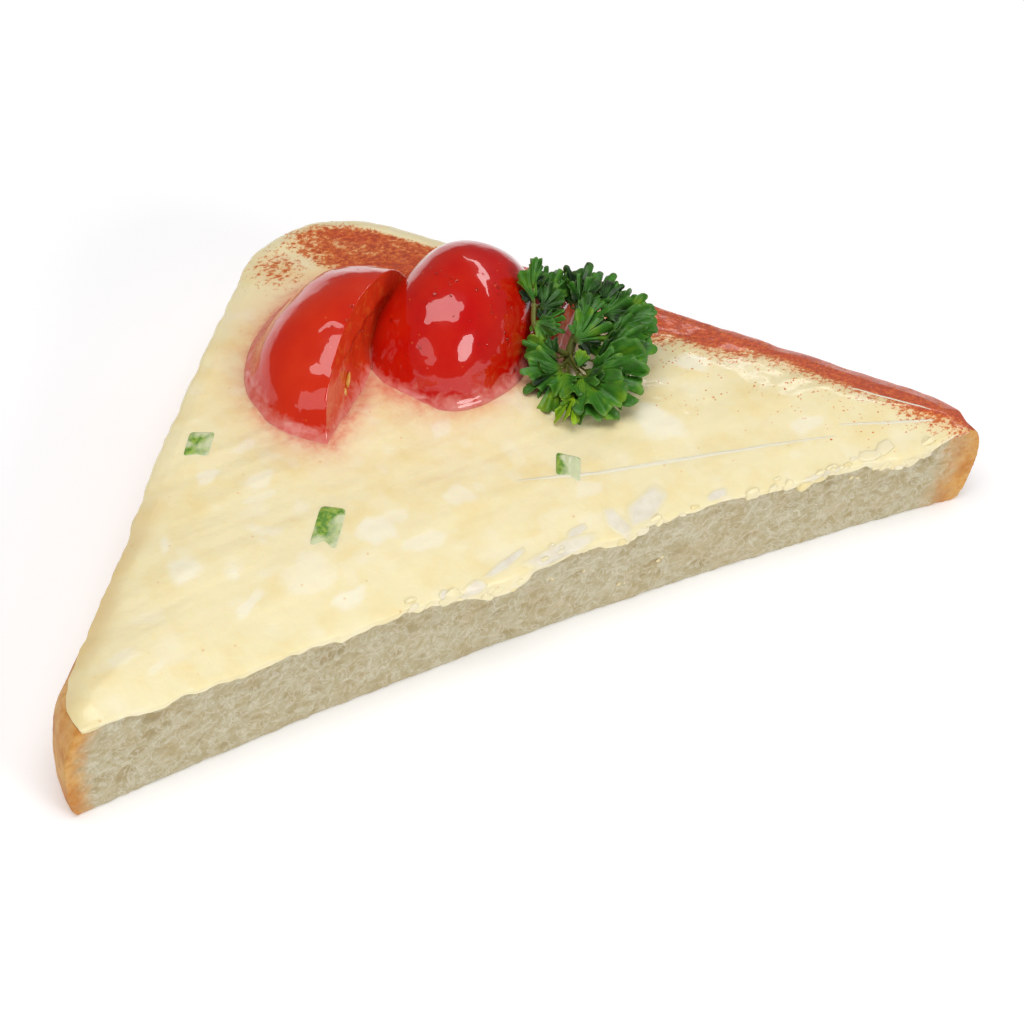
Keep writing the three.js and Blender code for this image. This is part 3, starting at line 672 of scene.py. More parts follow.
def glazedEggSalad():
    # Chopped boiled egg bound with mayonnaise, spread with a knife and brushed with clear aspic:
    # a soft cream body under a wet gloss, stained by the tomato and the paprika.
    look = saladLook
    material, node, place, masks = newMaterial("glazedEggSalad")
    cloud = node("TexNoise", {
        "Vector": place, "Scale": patternScale(look["cloud"]), "Detail": 4.0, "Roughness": 0.55})
    crumble = node("TexNoise", {
        "Vector": place, "Scale": patternScale(look["crumble"]), "Detail": 3.0, "Roughness": 0.6})
    body = layer(node, look["cream"], look["yolk"], cloud, 0.46, 0.72, 0.6)
    overCrust = layer(node, body, look["thin"], masks[2], 0.0, -1.0)
    whitened = layer(node, overCrust, look["white"], masks[2], 0.0, 1.0, 0.75)
    specks = node("TexVoronoi", {"Vector": place, "Scale": patternScale(look["speckGap"])})
    speckPick = node("MapRange", {
        0: node("SeparateColor", {"Color": specks.outputs["Color"]}).outputs["Red"], 1: 0.5, 2: 0.9,
        4: look["speckSize"] / look["speckGap"]})
    specked = layer(node, whitened, look["speck"], specks, speckPick, 0.0, 0.55)
    stainNoise = node("MapRange", {0: crumble, 1: 0.3, 2: 0.7, 3: 0.6, 4: 1.2})
    stainShare = node("Math", {0: masks[0], 1: stainNoise}, operation="MULTIPLY", use_clamp=True)
    stained = node("Mix", {0: stainShare, 6: specked, 7: look["stain"]})
    oiled = layer(node, stained, look["oil"], masks[1], 0.35, 0.95, 0.7)
    streaked = node("Mapping", {
        "Vector": place, "Rotation": (0, 0, math.radians(-backPatch["turn"])),
        "Scale": (1 / look["dustStretch"], 1, 1)})
    dust = node("TexNoise", {
        "Vector": streaked, "Scale": patternScale(look["dust"]), "Detail": 4.0, "Roughness": 0.7})
    dusted = node("Math", {0: dust, 1: 1.8, 2: masks[1]}, operation="MULTIPLY_ADD")
    paprika = layer(node, look["paprika"], look["paprikaDeep"], dust, 0.4, 0.62)
    dusting = layer(node, look["speckled"], paprika, dusted, 1.45, 1.85)
    colour = layer(node, oiled, dusting, dusted, 1.4, 1.58, 0.93)
    fineBump = node("Bump", {"Height": crumble, "Strength": 0.35, "Distance": 0.2 * mm})
    bodyBump = node("Bump", {"Height": cloud, "Strength": 0.4, "Distance": 0.6 * mm, "Normal": fineBump})
    glazeBump = node("Bump", {"Height": cloud, "Strength": 0.3, "Distance": 0.4 * mm})
    shader = node("BsdfPrincipled", {
        "Base Color": colour, "Roughness": look["roughness"], "IOR": 1.4, "Subsurface Weight": 0.2,
        "Subsurface Radius": (1.0, 0.75, 0.4), "Subsurface Scale": 1.6 * mm, "Coat Weight": 0.7,
        "Coat Roughness": look["glazeRoughness"], "Coat IOR": 1.35, "Normal": bodyBump,
        "Coat Normal": glazeBump})
    node("OutputMaterial", {"Surface": shader})
    return material


saladForm = saladShape()
addPiece("eggSalad", saladForm, glazedEggSalad(), ["egg_salad"])
saladSurface = BVHTree.FromPolygons(saladForm[0].tolist(), saladForm[1])
print("egg salad done")


def landing(surface, spot, facing):
    # where the surface lies under that spot, seen against facing
    return surface.ray_cast(spot + facing * 12, -facing)[0]


def saladUnder(x, y):
    # height of the egg salad at those places, 0 where there is none
    hits = [landing(saladSurface, Vector((*place, 48)), Vector((0, 0, 1))) for place in zip(x, y)]
    return np.array([hit.z if hit else 0.0 for hit in hits])


# Pieces of egg white in the lip at the cut: place along it and above the bread's edge, half length,
# half width, turn, thickness and number of corners.
lipFacing = Vector((-0.1, -0.74, 0.66)).normalized()
edgeWhites = [
    (1.9, -0.2, 5.2, 1.2, 4, 0.15, 6),
    (5.3, 1.5, 1.8, 0.55, 10, 0.1, 7),
    (10.7, 1.1, 1.0, 2.4, 16, 0.07, 5),
    (15.2, 1.6, 3.6, 1.5, 24, 0.07, 5),
    (-10.4, -0.9, 1.8, 0.9, 12, 0.2, 7),
    (-14.6, -0.5, 0.9, 0.6, 0, 0.2, 6),
    (-5.3, 0.7, 3.6, 0.5, 13, 0.07, 6),
    (40.5, -0.5, 4.4, 0.4, 0, 0.08, 6),
    (47.6, 0.1, 1.9, 0.7, -6, 0.3, 7),
    (50.2, 0.6, 1.5, 0.8, 8, 0.35, 5),
    (25.0, 0.6, 1.8, 0.6, 4, 0.08, 6),
]
lipBits = {"count": 62, "smallest": 0.35, "largest": 1.2, "seed": 19}
yolkBits = [(1.4, -3.6), (6.4, -4.3), (11.6, -7.9), (18.0, -5.9), (46, -2.6)]


def chunkShape(centre, size, turn, power, seed, rows, columns):
    # a rounded chip with flattened sides
    points, faces = skinRings(roundRings(columns, np.linspace(-86, 86, rows), power), [0, 0, -1], [0, 0, 1])
    rough = 1 + 0.16 * softNoise(points, 0.8, seed) + 0.07 * softNoise(points, 0.35, seed + 1)
    points = points * rough[:, None]
    x, y, z = (points * size).T
    x, z = turned(x, z, -turn)
    return np.stack([x, y, z], 1) + centre, faces, np.zeros_like(points)


eggWhiteLook = {
    "white": "#f0e7d2",
    "grey": "#e8ddc6",
    "cream": "#f5e7b9",
    "yolk": "#e9cf7c",
    "pattern": 1.5,
    "roughness": 0.35,
}


def boiledEggWhite():
    # Hard-boiled egg, chopped: smooth, faintly translucent white and crumbs of yolk, wet with glaze.
    look = eggWhiteLook
    material, node, place, masks = newMaterial("boiledEggWhite")
    cloud = node("TexNoise", {"Vector": place, "Scale": patternScale(look["pattern"])})
    white = layer(node, look["white"], look["grey"], cloud, 0.35, 0.65)
    creamy = node("Mix", {0: masks[2], 6: white, 7: look["cream"]})
    colour = node("Mix", {0: masks[1], 6: creamy, 7: look["yolk"]})
    relief = node("Bump", {"Height": cloud, "Strength": 0.3, "Distance": 0.2 * mm})
    shader = node("BsdfPrincipled", {
        "Base Color": colour, "Roughness": look["roughness"], "IOR": 1.36, "Subsurface Weight": 0.15,
        "Subsurface Radius": (1.0, 0.85, 0.7), "Subsurface Scale": 0.8 * mm, "Coat Weight": 0.5,
        "Coat Roughness": 0.12, "Coat IOR": 1.35, "Normal": relief})
    node("OutputMaterial", {"Surface": shader})
    return material


chipAngles = around(48)
chipProfile = (  # share of the outline, lift in thicknesses
    (1.14, -1.0), (1.07, -0.3), (1.0, 0.2), (0.92, 0.55), (0.8, 0.85), (0.6, 1.0), (0.4, 1.1), (0.2, 1.1))


def drapedChip(centre, facing, outline, turn, thick):
    # a chip with a cut outline, laid on the egg salad and sunk into it at its rim
    along = (Vector((1, 0, 0)) - facing * facing.x).normalized()
    upward = facing.cross(along)
    plan = list(zip(*turned(*outline, -turn)))
    rings = []
    for share, lift in chipProfile:
        spots = [centre + along * (u * share) + upward * (v * share) for u, v in plan]
        hits = [landing(saladSurface, spot, facing) or spot for spot in spots]
        rings.append(np.array([(hit + facing * (thick * lift))[:] for hit in hits]))
    points, faces = skinRings(rings, rings[0].mean(0), rings[-1].mean(0))
    shares = np.concatenate([np.repeat([share for share, _ in chipProfile], len(chipAngles)), [1.14, 0]])
    return points, faces, np.stack([0 * shares, 1 - shares, smoothStep(shares, 0.68, 1.02)], 1)


def lipPoint(x, above):
    # a place on the plane that leans against the bread's upper front edge
    along = (Vector((1, 0, 0)) - lipFacing * lipFacing.x).normalized()
    edge = Vector((x, toast["cutSag"] * (1 - (x / half) ** 2), breadTop(x)))
    return edge + lipFacing.cross(along) * above


def eggWhiteShapes():
    shapes = []
    for i, (x, above, long, wide, turn, thick, corners) in enumerate(edgeWhites):
        reach = 1.06 * polygonReach(chipAngles, corners, 60 + 3 * i)
        outline = long * reach * np.cos(chipAngles), wide * reach * np.sin(chipAngles)
        points, faces, masks = drapedChip(lipPoint(x, above), lipFacing, outline, turn, thick)
        masks[:, 1] = 0
        masks[:, 2] = np.maximum(masks[:, 2], 0.75 * smoothStep(x, 38, 44))
        shapes.append((points, faces, masks))
    rng = np.random.default_rng(lipBits["seed"])
    for i in range(lipBits["count"]):
        # a crumb of egg near the lower edge of the lip
        x = rng.choice([rng.uniform(-20, 30), rng.uniform(30, 57), rng.uniform(36, 57)])
        above = -6.0
        while above < 2 and landing(saladSurface, lipPoint(x, above), lipFacing) is None:
            above += 0.25
        spot = landing(saladSurface, lipPoint(x, above + rng.uniform(0.0, 1.3) ** 1.5), lipFacing)
        if spot is None:
            continue
        radius = mix(lipBits["smallest"], lipBits["largest"], rng.beta(1.2, 3.2))
        size = radius * rng.uniform(1.0, 1.7), 0.5 * radius, radius * rng.uniform(0.6, 0.9)
        sunk = np.array(spot - lipFacing * (0.3 * radius))
        points, faces, masks = chunkShape(sunk, size, rng.uniform(-40, 40), 0.75, 300 + i, 12, 18)
        masks[:, 1] = 0.4 * float(rng.uniform() < 0.15)
        masks[:, 2] = 1.0 if rng.uniform() < 0.8 else 0.5
        shapes.append((points, faces, masks))
    for i, (x, above) in enumerate(yolkBits):
        spot = landing(breadSurface, lipPoint(x, above), lipFacing)
        for k in range(2):
            place = np.array(spot) + (rng.uniform(-0.8, 0.8), 0, rng.uniform(-0.35, 0.35))
            size = rng.uniform(0.16, 0.36), 0.12, rng.uniform(0.16, 0.36)
            points, faces, masks = chunkShape(place, size, rng.uniform(0, 90), 0.95, 500 + 3 * i + k, 8, 12)
            masks[:, 1] = 0.5
            shapes.append((points, faces, masks))
    return joinShapes(shapes)


addPiece("eggWhitePieces", eggWhiteShapes(), boiledEggWhite())
print("egg white done")

chiveThickness = 0.13
chives = [  # x, y, length, width, turn, lean, depth of the notch in the near end, veil
    (-30.8, 34.3, 4.1, 2.9, 51, -0.25, 0.3, 0.5),
    (-23.4, 15.1, 6.9, 3.1, 50, -0.08, 1.1, 0.44),
    (9.3, 12.9, 4.0, 3.0, 58, 0.18, 0.5, 0.66),
]


def chiveShape(x, y, length, width, turn, lean, notch, cover, seed):
    square = squareness(chipAngles, 9)
    v = width / 2 * square * np.sin(chipAngles)
    u = length / 2 * square * np.cos(chipAngles) + lean * v
    u = u + notch * bump(v, 0.3 * width) * smoothStep(-np.cos(chipAngles), 0.2, 0.8)
    centre = Vector((x, y, float(saladTopAt(x, y))))
    points, faces, masks = drapedChip(centre, Vector((0, 0, 1)), (u, v), turn, chiveThickness)
    along, across = turned(points[:, 0] - x, points[:, 1] - y, turn)
    points[:, 2] += 0.05 * np.cos(across * 2 * math.pi / 0.85) * (masks[:, 1] > 0.1)
    veil = cover - 0.5 * across / width - 0.5 * along / length + 0.6 * softNoise(points, 1.0, seed)
    masks[:, 2] = np.clip(np.maximum(veil, smoothStep(1 - masks[:, 1], 0.93, 1.12)), 0, 1)
    return points, faces, masks


chiveLook = {
    "deep": "#5f8d34",
    "fresh": "#97b24a",
    "veil": "#d9dcb4",
    "rib": 0.55,
    "roughness": 0.4,
}


def cutChive():
    # Fresh chive, snipped and half sunk in the glaze: mottled green, clouded where cream covers it.
    look = chiveLook
    material, node, place, masks = newMaterial("cutChive")
    ribs = node("TexNoise", {"Vector": place, "Scale": patternScale(look["rib"])})
    green = layer(node, look["deep"], look["fresh"], ribs, 0.4, 0.6)
    colour = layer(node, green, look["veil"], masks[2], 0.25, 0.65, 0.85)
    relief = node("Bump", {"Height": ribs, "Strength": 0.4, "Distance": 0.12 * mm})
    shader = node("BsdfPrincipled", {
        "Base Color": colour, "Roughness": look["roughness"], "IOR": 1.4, "Subsurface Weight": 0.1,
        "Subsurface Radius": (0.6, 1.0, 0.3), "Subsurface Scale": 0.6 * mm, "Coat Weight": 0.6,
        "Coat Roughness": 0.1, "Coat IOR": 1.35, "Normal": relief})
    node("OutputMaterial", {"Surface": shader})
    return material


chiveShapes = [chiveShape(*snippet, 94 + 7 * i) for i, snippet in enumerate(chives)]
addPiece("chiveSnippets", joinShapes(chiveShapes), cutChive())
print("chive done")

# Cherry tomato pieces.
tomatoMesh = {"sides": 150, "levels": 64, "roundness": 2.25, "wave": 0.4, "ripple": 0.05,
              "flare": 1.2, "flareAt": 1.6, "flareRun": 0.8}  # the glaze drawn up at the foot
tomatoSeeds = ((-6.2, -0.8, 50), (-7.9, -2.0, 60))  # along the cut, up it, turn


def tomatoShape(tomato):
    sides, tall = tomatoMesh["sides"], tomato["half"][2]
    rings = roundRings(sides, np.linspace(0, 88, tomatoMesh["levels"])) * tomato["half"]
    rings[:, :, :2] *= squareness(around(sides), tomatoMesh["roundness"])[:, None]
    floor = rings[0] * 0.98
    floor[:, 2] = -tomatoSink
    points, faces = skinRings([floor, *rings], [0, 0, -tomatoSink], [0, 0, tall])
    swell = (tomatoMesh["wave"] * softNoise(points, 6.5, tomato["seed"])
             + tomatoMesh["ripple"] * softNoise(points, 2.2, tomato["seed"] + 1))
    swell = swell * np.clip(points[:, 2] / 3, 0, 1) / np.linalg.norm(points, axis=1)
    bm = bmesh.new()
    vertices = [bm.verts.new(point) for point in (points * (1 + swell[:, None])).tolist()]
    for face in faces:
        bm.faces.new([vertices[i] for i in face])
    flesh = cutWithKnife(bm, tomato) if tomato["cut"] else ()
    bm.verts.index_update()
    points = np.array([v.co[:] for v in bm.verts])
    faces = [[v.index for v in face.verts] for face in bm.faces]
    masks = np.array([(v in flesh, 0, tomato["tone"]) for v in bm.verts], float)
    bm.free()
    spread = points[:, :2] - [0, (tomato["cut"][0] + tomato["half"][1]) / 2 if tomato["cut"] else 0]
    aboveFlare = np.maximum(0, points[:, 2] - tomatoMesh["flareAt"])
    flare = tomatoMesh["flare"] * np.exp(-aboveFlare / tomatoMesh["flareRun"])
    points[:, :2] += spread * (flare / np.maximum(3, np.hypot(*spread.T)))[:, None]
    points, faces, masks = joinShapes([(points, faces, masks), *seedShapes(tomato)])
    x, y, z = points.T
    return np.stack([*turned(x, y, -tomato["turn"]), z], 1) + [*tomato["at"], tomato["base"]], faces, masks


def cutWithKnife(bm, tomato):
    # takes off what lies beyond the leaning knife plane and closes the cut with relief
    offset, lean = tomato["cut"][0], math.radians(tomato["cut"][1])
    normal = Vector((0, math.cos(lean), -math.sin(lean)))
    upward = Vector((0, math.sin(lean), math.cos(lean)))
    everything = bm.verts[:] + bm.edges[:] + bm.faces[:]
    bmesh.ops.bisect_plane(bm, geom=everything, plane_co=(0, offset, 0), plane_no=normal, clear_inner=True)
    rim = {edge for edge in bm.edges if edge.is_boundary}
    edge = next(edge for edge in bm.edges if edge.is_boundary)
    loop = [edge.verts[0]]
    while edge:
        loop.append(edge.other_vert(loop[-1]))
        rim.remove(edge)
        edge = next((edge for edge in loop[-1].link_edges if edge in rim), None)
    loop.pop()
    centre = sum((v.co for v in loop), Vector()) / len(loop)
    flesh = set()
    before = loop
    for share in (0.985, 0.95, 0.9, 0.84, 0.77, 0.7, 0.62, 0.54, 0.46, 0.38, 0.3, 0.22, 0.14, 0.07):
        ring = []
        for v in loop:
            spot = centre + (v.co - centre) * share
            sink = 0.12 * (1 - share) * math.sin(1.7 * spot.x)
            if tomato["pocket"]:
                long, deep, high, rise = tomato["pocket"]
                up = (spot - Vector((0, offset, 0))).dot(upward) - rise
                sink += deep * math.sqrt(max(0, 1 - (spot.x / long) ** 2 - (up / high) ** 2))
            ring.append(bm.verts.new(spot + normal * sink))
        for corners in zip(before, before[1:] + before[:1], ring[1:] + ring[:1], ring):
            bm.faces.new(corners)
        flesh.update(ring)
        before = ring
    bm.faces.new(before)
    bmesh.ops.recalc_face_normals(bm, faces=bm.faces[:])
    return flesh


def seedShapes(tomato):
    # seeds in their jelly, in the pocket that the knife opened
    shapes = []
    for i, (along, up, turn) in enumerate(tomatoSeeds if tomato["pocket"] else ()):
        points, faces, _ = chunkShape((along, 0, up), (1.0, 0.25, 0.32), turn, 0.9, 130 + 3 * i, 12, 18)
        x, y, z = points.T
        y, z = turned(y + 0.2, z + tomato["pocket"][3], tomato["cut"][1])
        masks = np.tile([1.0, 1.0, tomato["tone"]], (len(points), 1))
        shapes.append((np.stack([x, tomato["cut"][0] + y, z], 1), faces, masks))
    return shapes


tomatoLook = {
    "ripe": "#c00603",
    "orange": "#d42e0a",
    "dot": "#e08a35",
    "flesh": "#d23a1a",
    "fibre": "#d8682a",
    "seed": "#dc9a3a",
    "veil": "#e6988c",
    "veilLow": 17.2,  # heights between which the glaze at the foot clouds the skin
    "veilHigh": 19.2,
    "dotGap": 2.0,
    "dotSize": 0.15,
    "cloud": 6.0,
    "wetness": 3.2,
    "fibreSize": 1.3,
    "roughness": 0.22,
    "glazeRoughness": 0.03,
}


def glazedTomato():
    # Ripe cherry tomato, cut and brushed with aspic: a thin taut skin with pale dots, wet flesh and
    # a glassy uneven coat.
    look = tomatoLook
    material, node, place, masks = newMaterial("glazedTomato")
    cloud = node("TexNoise", {"Vector": place, "Scale": patternScale(look["cloud"]), "Detail": 3.0})
    fibres = node("TexNoise", {
        "Vector": place, "Scale": patternScale(look["fibreSize"]), "Distortion": 0.6})
    tone = node("Math", {
        0: node("MapRange", {0: cloud, 1: 0.3, 2: 0.7, 3: -0.25, 4: 0.25}),
        1: masks[2]}, operation="ADD", use_clamp=True)
    skin = node("Mix", {0: tone, 6: look["ripe"], 7: look["orange"]})
    dots = node("TexVoronoi", {"Vector": place, "Scale": patternScale(look["dotGap"])})
    dotted = layer(node, skin, look["dot"], dots, look["dotSize"] / look["dotGap"],
        0.3 * look["dotSize"] / look["dotGap"], 0.5)
    flesh = layer(node, look["flesh"], look["fibre"], fibres, 0.5, 0.68, 0.45)
    body = node("Mix", {0: masks[0], 6: dotted, 7: flesh})
    seeded = node("Mix", {0: masks[1], 6: body, 7: look["seed"]})
    height = node("SeparateXYZ", {"Vector": place})
    unevenly = node("Math", {0: fibres, 1: -3.6 * mm, 2: height.outputs["Z"]}, operation="MULTIPLY_ADD")
    colour = layer(node, seeded, look["veil"], unevenly, (look["veilHigh"] - 1.8) * mm,
        (look["veilLow"] - 1.8) * mm, 0.75)
    wetness = node("TexNoise", {"Vector": place, "Scale": patternScale(look["wetness"]), "Detail": 1.5})
    relief = node("Bump", {"Height": cloud, "Strength": 0.25, "Distance": 0.5 * mm})
    glazeRelief = node("Bump", {"Height": wetness, "Strength": 0.42, "Distance": 0.5 * mm})
    shader = node("BsdfPrincipled", {
        "Base Color": colour, "Roughness": look["roughness"], "IOR": 1.4, "Specular IOR Level": 0.1,
        "Subsurface Weight": 0.05, "Subsurface Radius": (1.0, 0.2, 0.1), "Subsurface Scale": 1.5 * mm,
        "Coat Weight": 1.0, "Coat Roughness": look["glazeRoughness"], "Normal": relief,
        "Coat Normal": glazeRelief})
    node("OutputMaterial", {"Surface": shader})
    return material


tomatoSkin = glazedTomato()
tomatoSurfaces = {}
for node, pieceName in (
        ("tomato_left", "tomatoLeft"), ("tomato_middle", "tomatoMiddle"), ("tomato_back", "tomatoBack")):
    tomatoForm = tomatoShape(tomatoes[node])
    tomatoSurfaces[node] = BVHTree.FromPolygons(tomatoForm[0].tolist(), tomatoForm[1])
    addPiece(pieceName, tomatoForm, tomatoSkin, [node])
print("tomato done")

# The aspic: bubbles and drops on the tomatoes and the edges of the film on the spread.
glazeBeads = [  # node, height of the place aimed at, direction, spread, count, largest radius
    ("tomato_middle", 6, (-0.45, -0.45, 0.8), 0.45, 26, 0.30),
    ("tomato_middle", 5, (-0.1, -0.75, 0.45), 0.5, 14, 0.18),
    ("tomato_left", 6, (-0.35, -0.4, 0.8), 0.5, 18, 0.22),
    ("tomato_left", 1.6, (0.55, -0.85, 0.1), 0.25, 5, 0.5),
]
filmEdges = [  # places along the line, half width, height
    ([(2, 13.4), (12.3, 10.6), (25.8, 8.5), (44.8, 5.0)], 0.42, 0.014),
    ([(46, 6.4), (53, 4.4), (59, 2.8)], 0.32, 0.014),
    ([(51, 11.8), (55.5, 7.8), (59.5, 4.2)], 0.24, 0.03),
]


def beadShape(surface, centre, toward, radius):
    # a flattened bubble standing on a surface
    hit, normal = surface.ray_cast(centre + toward * 30, -toward)[:2]
    if hit is None:
        return None
    tall = 0.6 * radius
    rings = roundRings(14, np.linspace(-80, 80, 9)) * [radius, radius, tall]
    points, faces = skinRings(rings, [0, 0, -tall], [0, 0, tall])
    basis = np.array(normal.to_track_quat("Z", "Y").to_matrix())
    points = points @ basis.T + np.array(hit) + np.array(normal) * 0.15 * radius
    return points, faces, np.ones_like(points)


def filmEdgeShape(places, wide, tall):
    # a low ridge where a film of glaze ends
    centres = ringsBetween(places, 36)
    run = np.gradient(centres, axis=0)
    aside = np.stack([-run[:, 1], run[:, 0]], 1) / np.hypot(*run.T)[:, None]
    taper = np.sin(np.linspace(0, math.pi, len(centres))) ** 0.4 + 0.02
    rings = []
    side = 0.7 * tall
    for across, lift in ((-1, -0.12), (0, -0.3), (1, -0.12), (0.6, side), (0, tall), (-0.6, side)):
        spot = centres + aside * (across * wide * taper)[:, None]
        rings.append(np.column_stack([spot, saladUnder(*spot.T) + lift * (taper if lift > 0 else 1)]))
    rings = np.array(rings).transpose(1, 0, 2)
    points, faces = skinRings(rings, rings[0].mean(0), rings[-1].mean(0))
    return points, faces, np.tile([0.0, 0.0, 0.8], (len(points), 1))


def glazeShapes():
    rng = np.random.default_rng(41)
    shapes = []
    for node, rise, toward, spread, count, largest in glazeBeads:
        tomato = tomatoes[node]
        centre = Vector((*tomato["at"], tomato["base"] + rise))
        for _ in range(count):
            heading = (Vector(toward) + Vector(rng.normal(0, spread, 3))).normalized()
            radius = largest * rng.beta(1.4, 3.0) + 0.07
            bead = beadShape(tomatoSurfaces[node], centre, heading, radius)
            if bead and heading.z > 0.02:
                shapes.append(bead)
    return joinShapes(shapes)


aspicLook = {
    "clear": "#fff4dd",
    "milky": "#f2e3c4",
    "cloud": 1.0,
    "roughness": 0.03,
}


def clearAspic():
    # Savoury jelly, poured thin and set: clear, barely yellow, with a polished surface.
    look = aspicLook
    material, node, place, _ = newMaterial("clearAspic")
    cloud = node("TexNoise", {"Vector": place, "Scale": patternScale(look["cloud"])})
    colour = node("Mix", {0: cloud, 6: look["clear"], 7: look["milky"]})
    relief = node("Bump", {"Height": cloud, "Strength": 0.1, "Distance": 0.05 * mm})
    shader = node("BsdfPrincipled", {
        "Base Color": colour, "Roughness": look["roughness"], "IOR": 1.35, "Transmission Weight": 1.0,
        "Normal": relief})
    node("OutputMaterial", {"Surface": shader})
    return material


addPiece("glazeBeads", glazeShapes(), clearAspic())
filmShape = joinShapes([filmEdgeShape(*edge) for edge in filmEdges])
addPiece("glazeFilmEdges", filmShape, bpy.data.materials["glazedEggSalad"])
print("glaze done")

# The parsley sprig, in a frame of its own: X across it, Y along its stem, Z to its open side.
sprig = {
    "root": (18.3, 28.1, 17.3),
    "attitude": (-37.6, 45, 9.7),
    "stems": (  # places along a stem and its radii
        ([(0, 0, 0), (0.5, 2.2, 0.8), (1.3, 4.2, 1.0), (2.2, 6.4, 0.6)], (0.62, 0.5, 0.3)),
        ([(0.0, 1.0, 0.8), (-2.6, 2.2, 2.2), (-4.2, 4.6, 2.8), (-4.3, 7.4, 3.2)], (0.4, 0.34, 0.3)),
    ),
    "petiole": (0.22, 0.2, 0.15),
    "fans": 60,
    "steps": 8,
    "thickness": 0.22,
    "lobes": (  # directions as a share of the spread, and reach
        (-1.05, 0.74), (-0.82, 0.86), (-0.5, 0.8), (-0.2, 0.97), (0.06, 1.0), (0.3, 0.88), (0.66, 0.93),
        (0.88, 0.84), (1.1, 0.7)),
    "fewLobes": ((-1.0, 0.72), (-0.6, 0.86), (0.0, 1.0), (0.5, 0.9), (1.0, 0.76)),  # on a narrow leaflet
    "lobeWidth": 0.085,  # radius of a lobe as a share of the leaflet's length
    "notch": 0.36,
}
leaves = [  # foot, tip, spread of the lobes each way, roll, tone of its green with painted light and shade
    ((-4.3, 7.2, 3.2), (-5.9, 11.9, 4.2), 14, 30, 0.46),
    ((-4.4, 9.2, 3.6), (-4.2, 13.2, 4.6), 14, -10, 0.45),
    ((-4.2, 7.6, 1.8), (-3.4, 12.4, 2.2), 24, 10, 0.40),
    ((-3.0, 7.4, 1.2), (-1.2, 12.4, 1.4), 30, -14, 0.50),
    ((-3.6, 6.6, 2.2), (-0.3, 8.8, 2.8), 48, 12, 0.20),
    ((-3.8, 4.6, 2.6), (-0.4, 6.2, 3.4), 48, -10, 0.42),
    ((-4.2, 5.2, 3.0), (-1.6, 3.4, 3.8), 40, 14, 0.48),
    ((0.4, 7.0, 0.4), (0.4, 12.0, 0.4), 30, 10, 0.20),
    ((1.0, 6.8, 0.6), (2.0, 12.8, 0.8), 36, -12, 0.12),
    ((1.4, 6.8, 1.4), (3.8, 10.8, 1.8), 50, 14, 0.30),
    ((3.0, 7.2, 0.6), (6.3, 11.6, 0.4), 40, -10, 0.42),
    ((4.0, 7.4, 0.6), (7.4, 9.8, 0.6), 40, 12, 0.12),
    ((4.0, 5.8, 1.2), (8.2, 8.4, 1.2), 42, -12, 0.36),
    ((5.6, 6.0, 0.6), (9.8, 8.2, 0.6), 36, 12, 0.42),
    ((5.6, 5.0, 0.8), (11.2, 7.0, 0.8), 32, -10, 0.45),
    ((5.2, 4.2, 0.6), (11.9, 5.0, 0.8), 32, 10, 0.36),
    ((4.4, 3.2, 1.4), (10.2, 3.4, 1.8), 40, -8, 0.48),
    ((3.6, 1.8, 1.6), (11.2, 1.0, 2.6), 34, 10, 0.42),
    ((2.8, 0.2, 2.2), (10.6, -1.2, 4.0), 32, -8, 0.40),
    ((0.6, 2.6, 2.4), (5.6, 4.8, 3.6), 52, 12, 0.46),
    ((1.6, 5.0, 2.0), (5.0, 7.6, 2.6), 50, -8, 0.32),
    ((2.0, -1.0, 3.4), (9.2, -4.6, 7.0), 40, 8, 0.46),
    ((1.8, -1.6, 4.0), (5.6, -6.8, 9.0), 38, -8, 0.52),
    ((1.2, -1.4, 3.8), (2.2, -7.4, 9.4), 34, 8, 0.56),
    ((0.6, -4.2, 6.6), (-0.4, -7.6, 9.8), 26, 4, 0.98),
    ((-0.8, -0.4, 2.6), (-5.6, -2.2, 5.4), 44, -6, 0.5),
    ((-0.8, -0.8, 3.0), (-2.8, -5.4, 7.6), 42, 10, 0.56),
    ((-0.2, -1.2, 3.2), (-0.1, -5.2, 7.6), 30, -10, 0.46),
    ((-1.2, 0.6, 2.2), (-5.4, 2.9, 3.2), 38, 8, 0.46),
    ((1.2, -0.8, 4.4), (2.2, 1.4, 5.2), 28, 0, 0.60),
]


def rimReach(angle, spread, order):
    # how far the leaflet's rim stands from its foot: round lobes with notches between them
    rim = np.full(angle.shape, sprig["notch"])
    rng = np.random.default_rng(700 + order)
    for place, far in sprig["lobes" if spread > math.radians(27) else "fewLobes"]:
        lobe = sprig["lobeWidth"] * rng.uniform(0.85, 1.2)
        middle = far * rng.uniform(0.86, 1.05) - lobe
        off = angle - spread * (place + rng.uniform(-0.06, 0.06))
        inside = np.clip(lobe ** 2 - (middle * np.sin(off)) ** 2, 0, None)
        bulge = np.maximum(rim, middle * np.cos(off) + np.sqrt(inside))
        rim = np.where((inside > 0) & (np.abs(off) < 1), bulge, rim)
    return rim


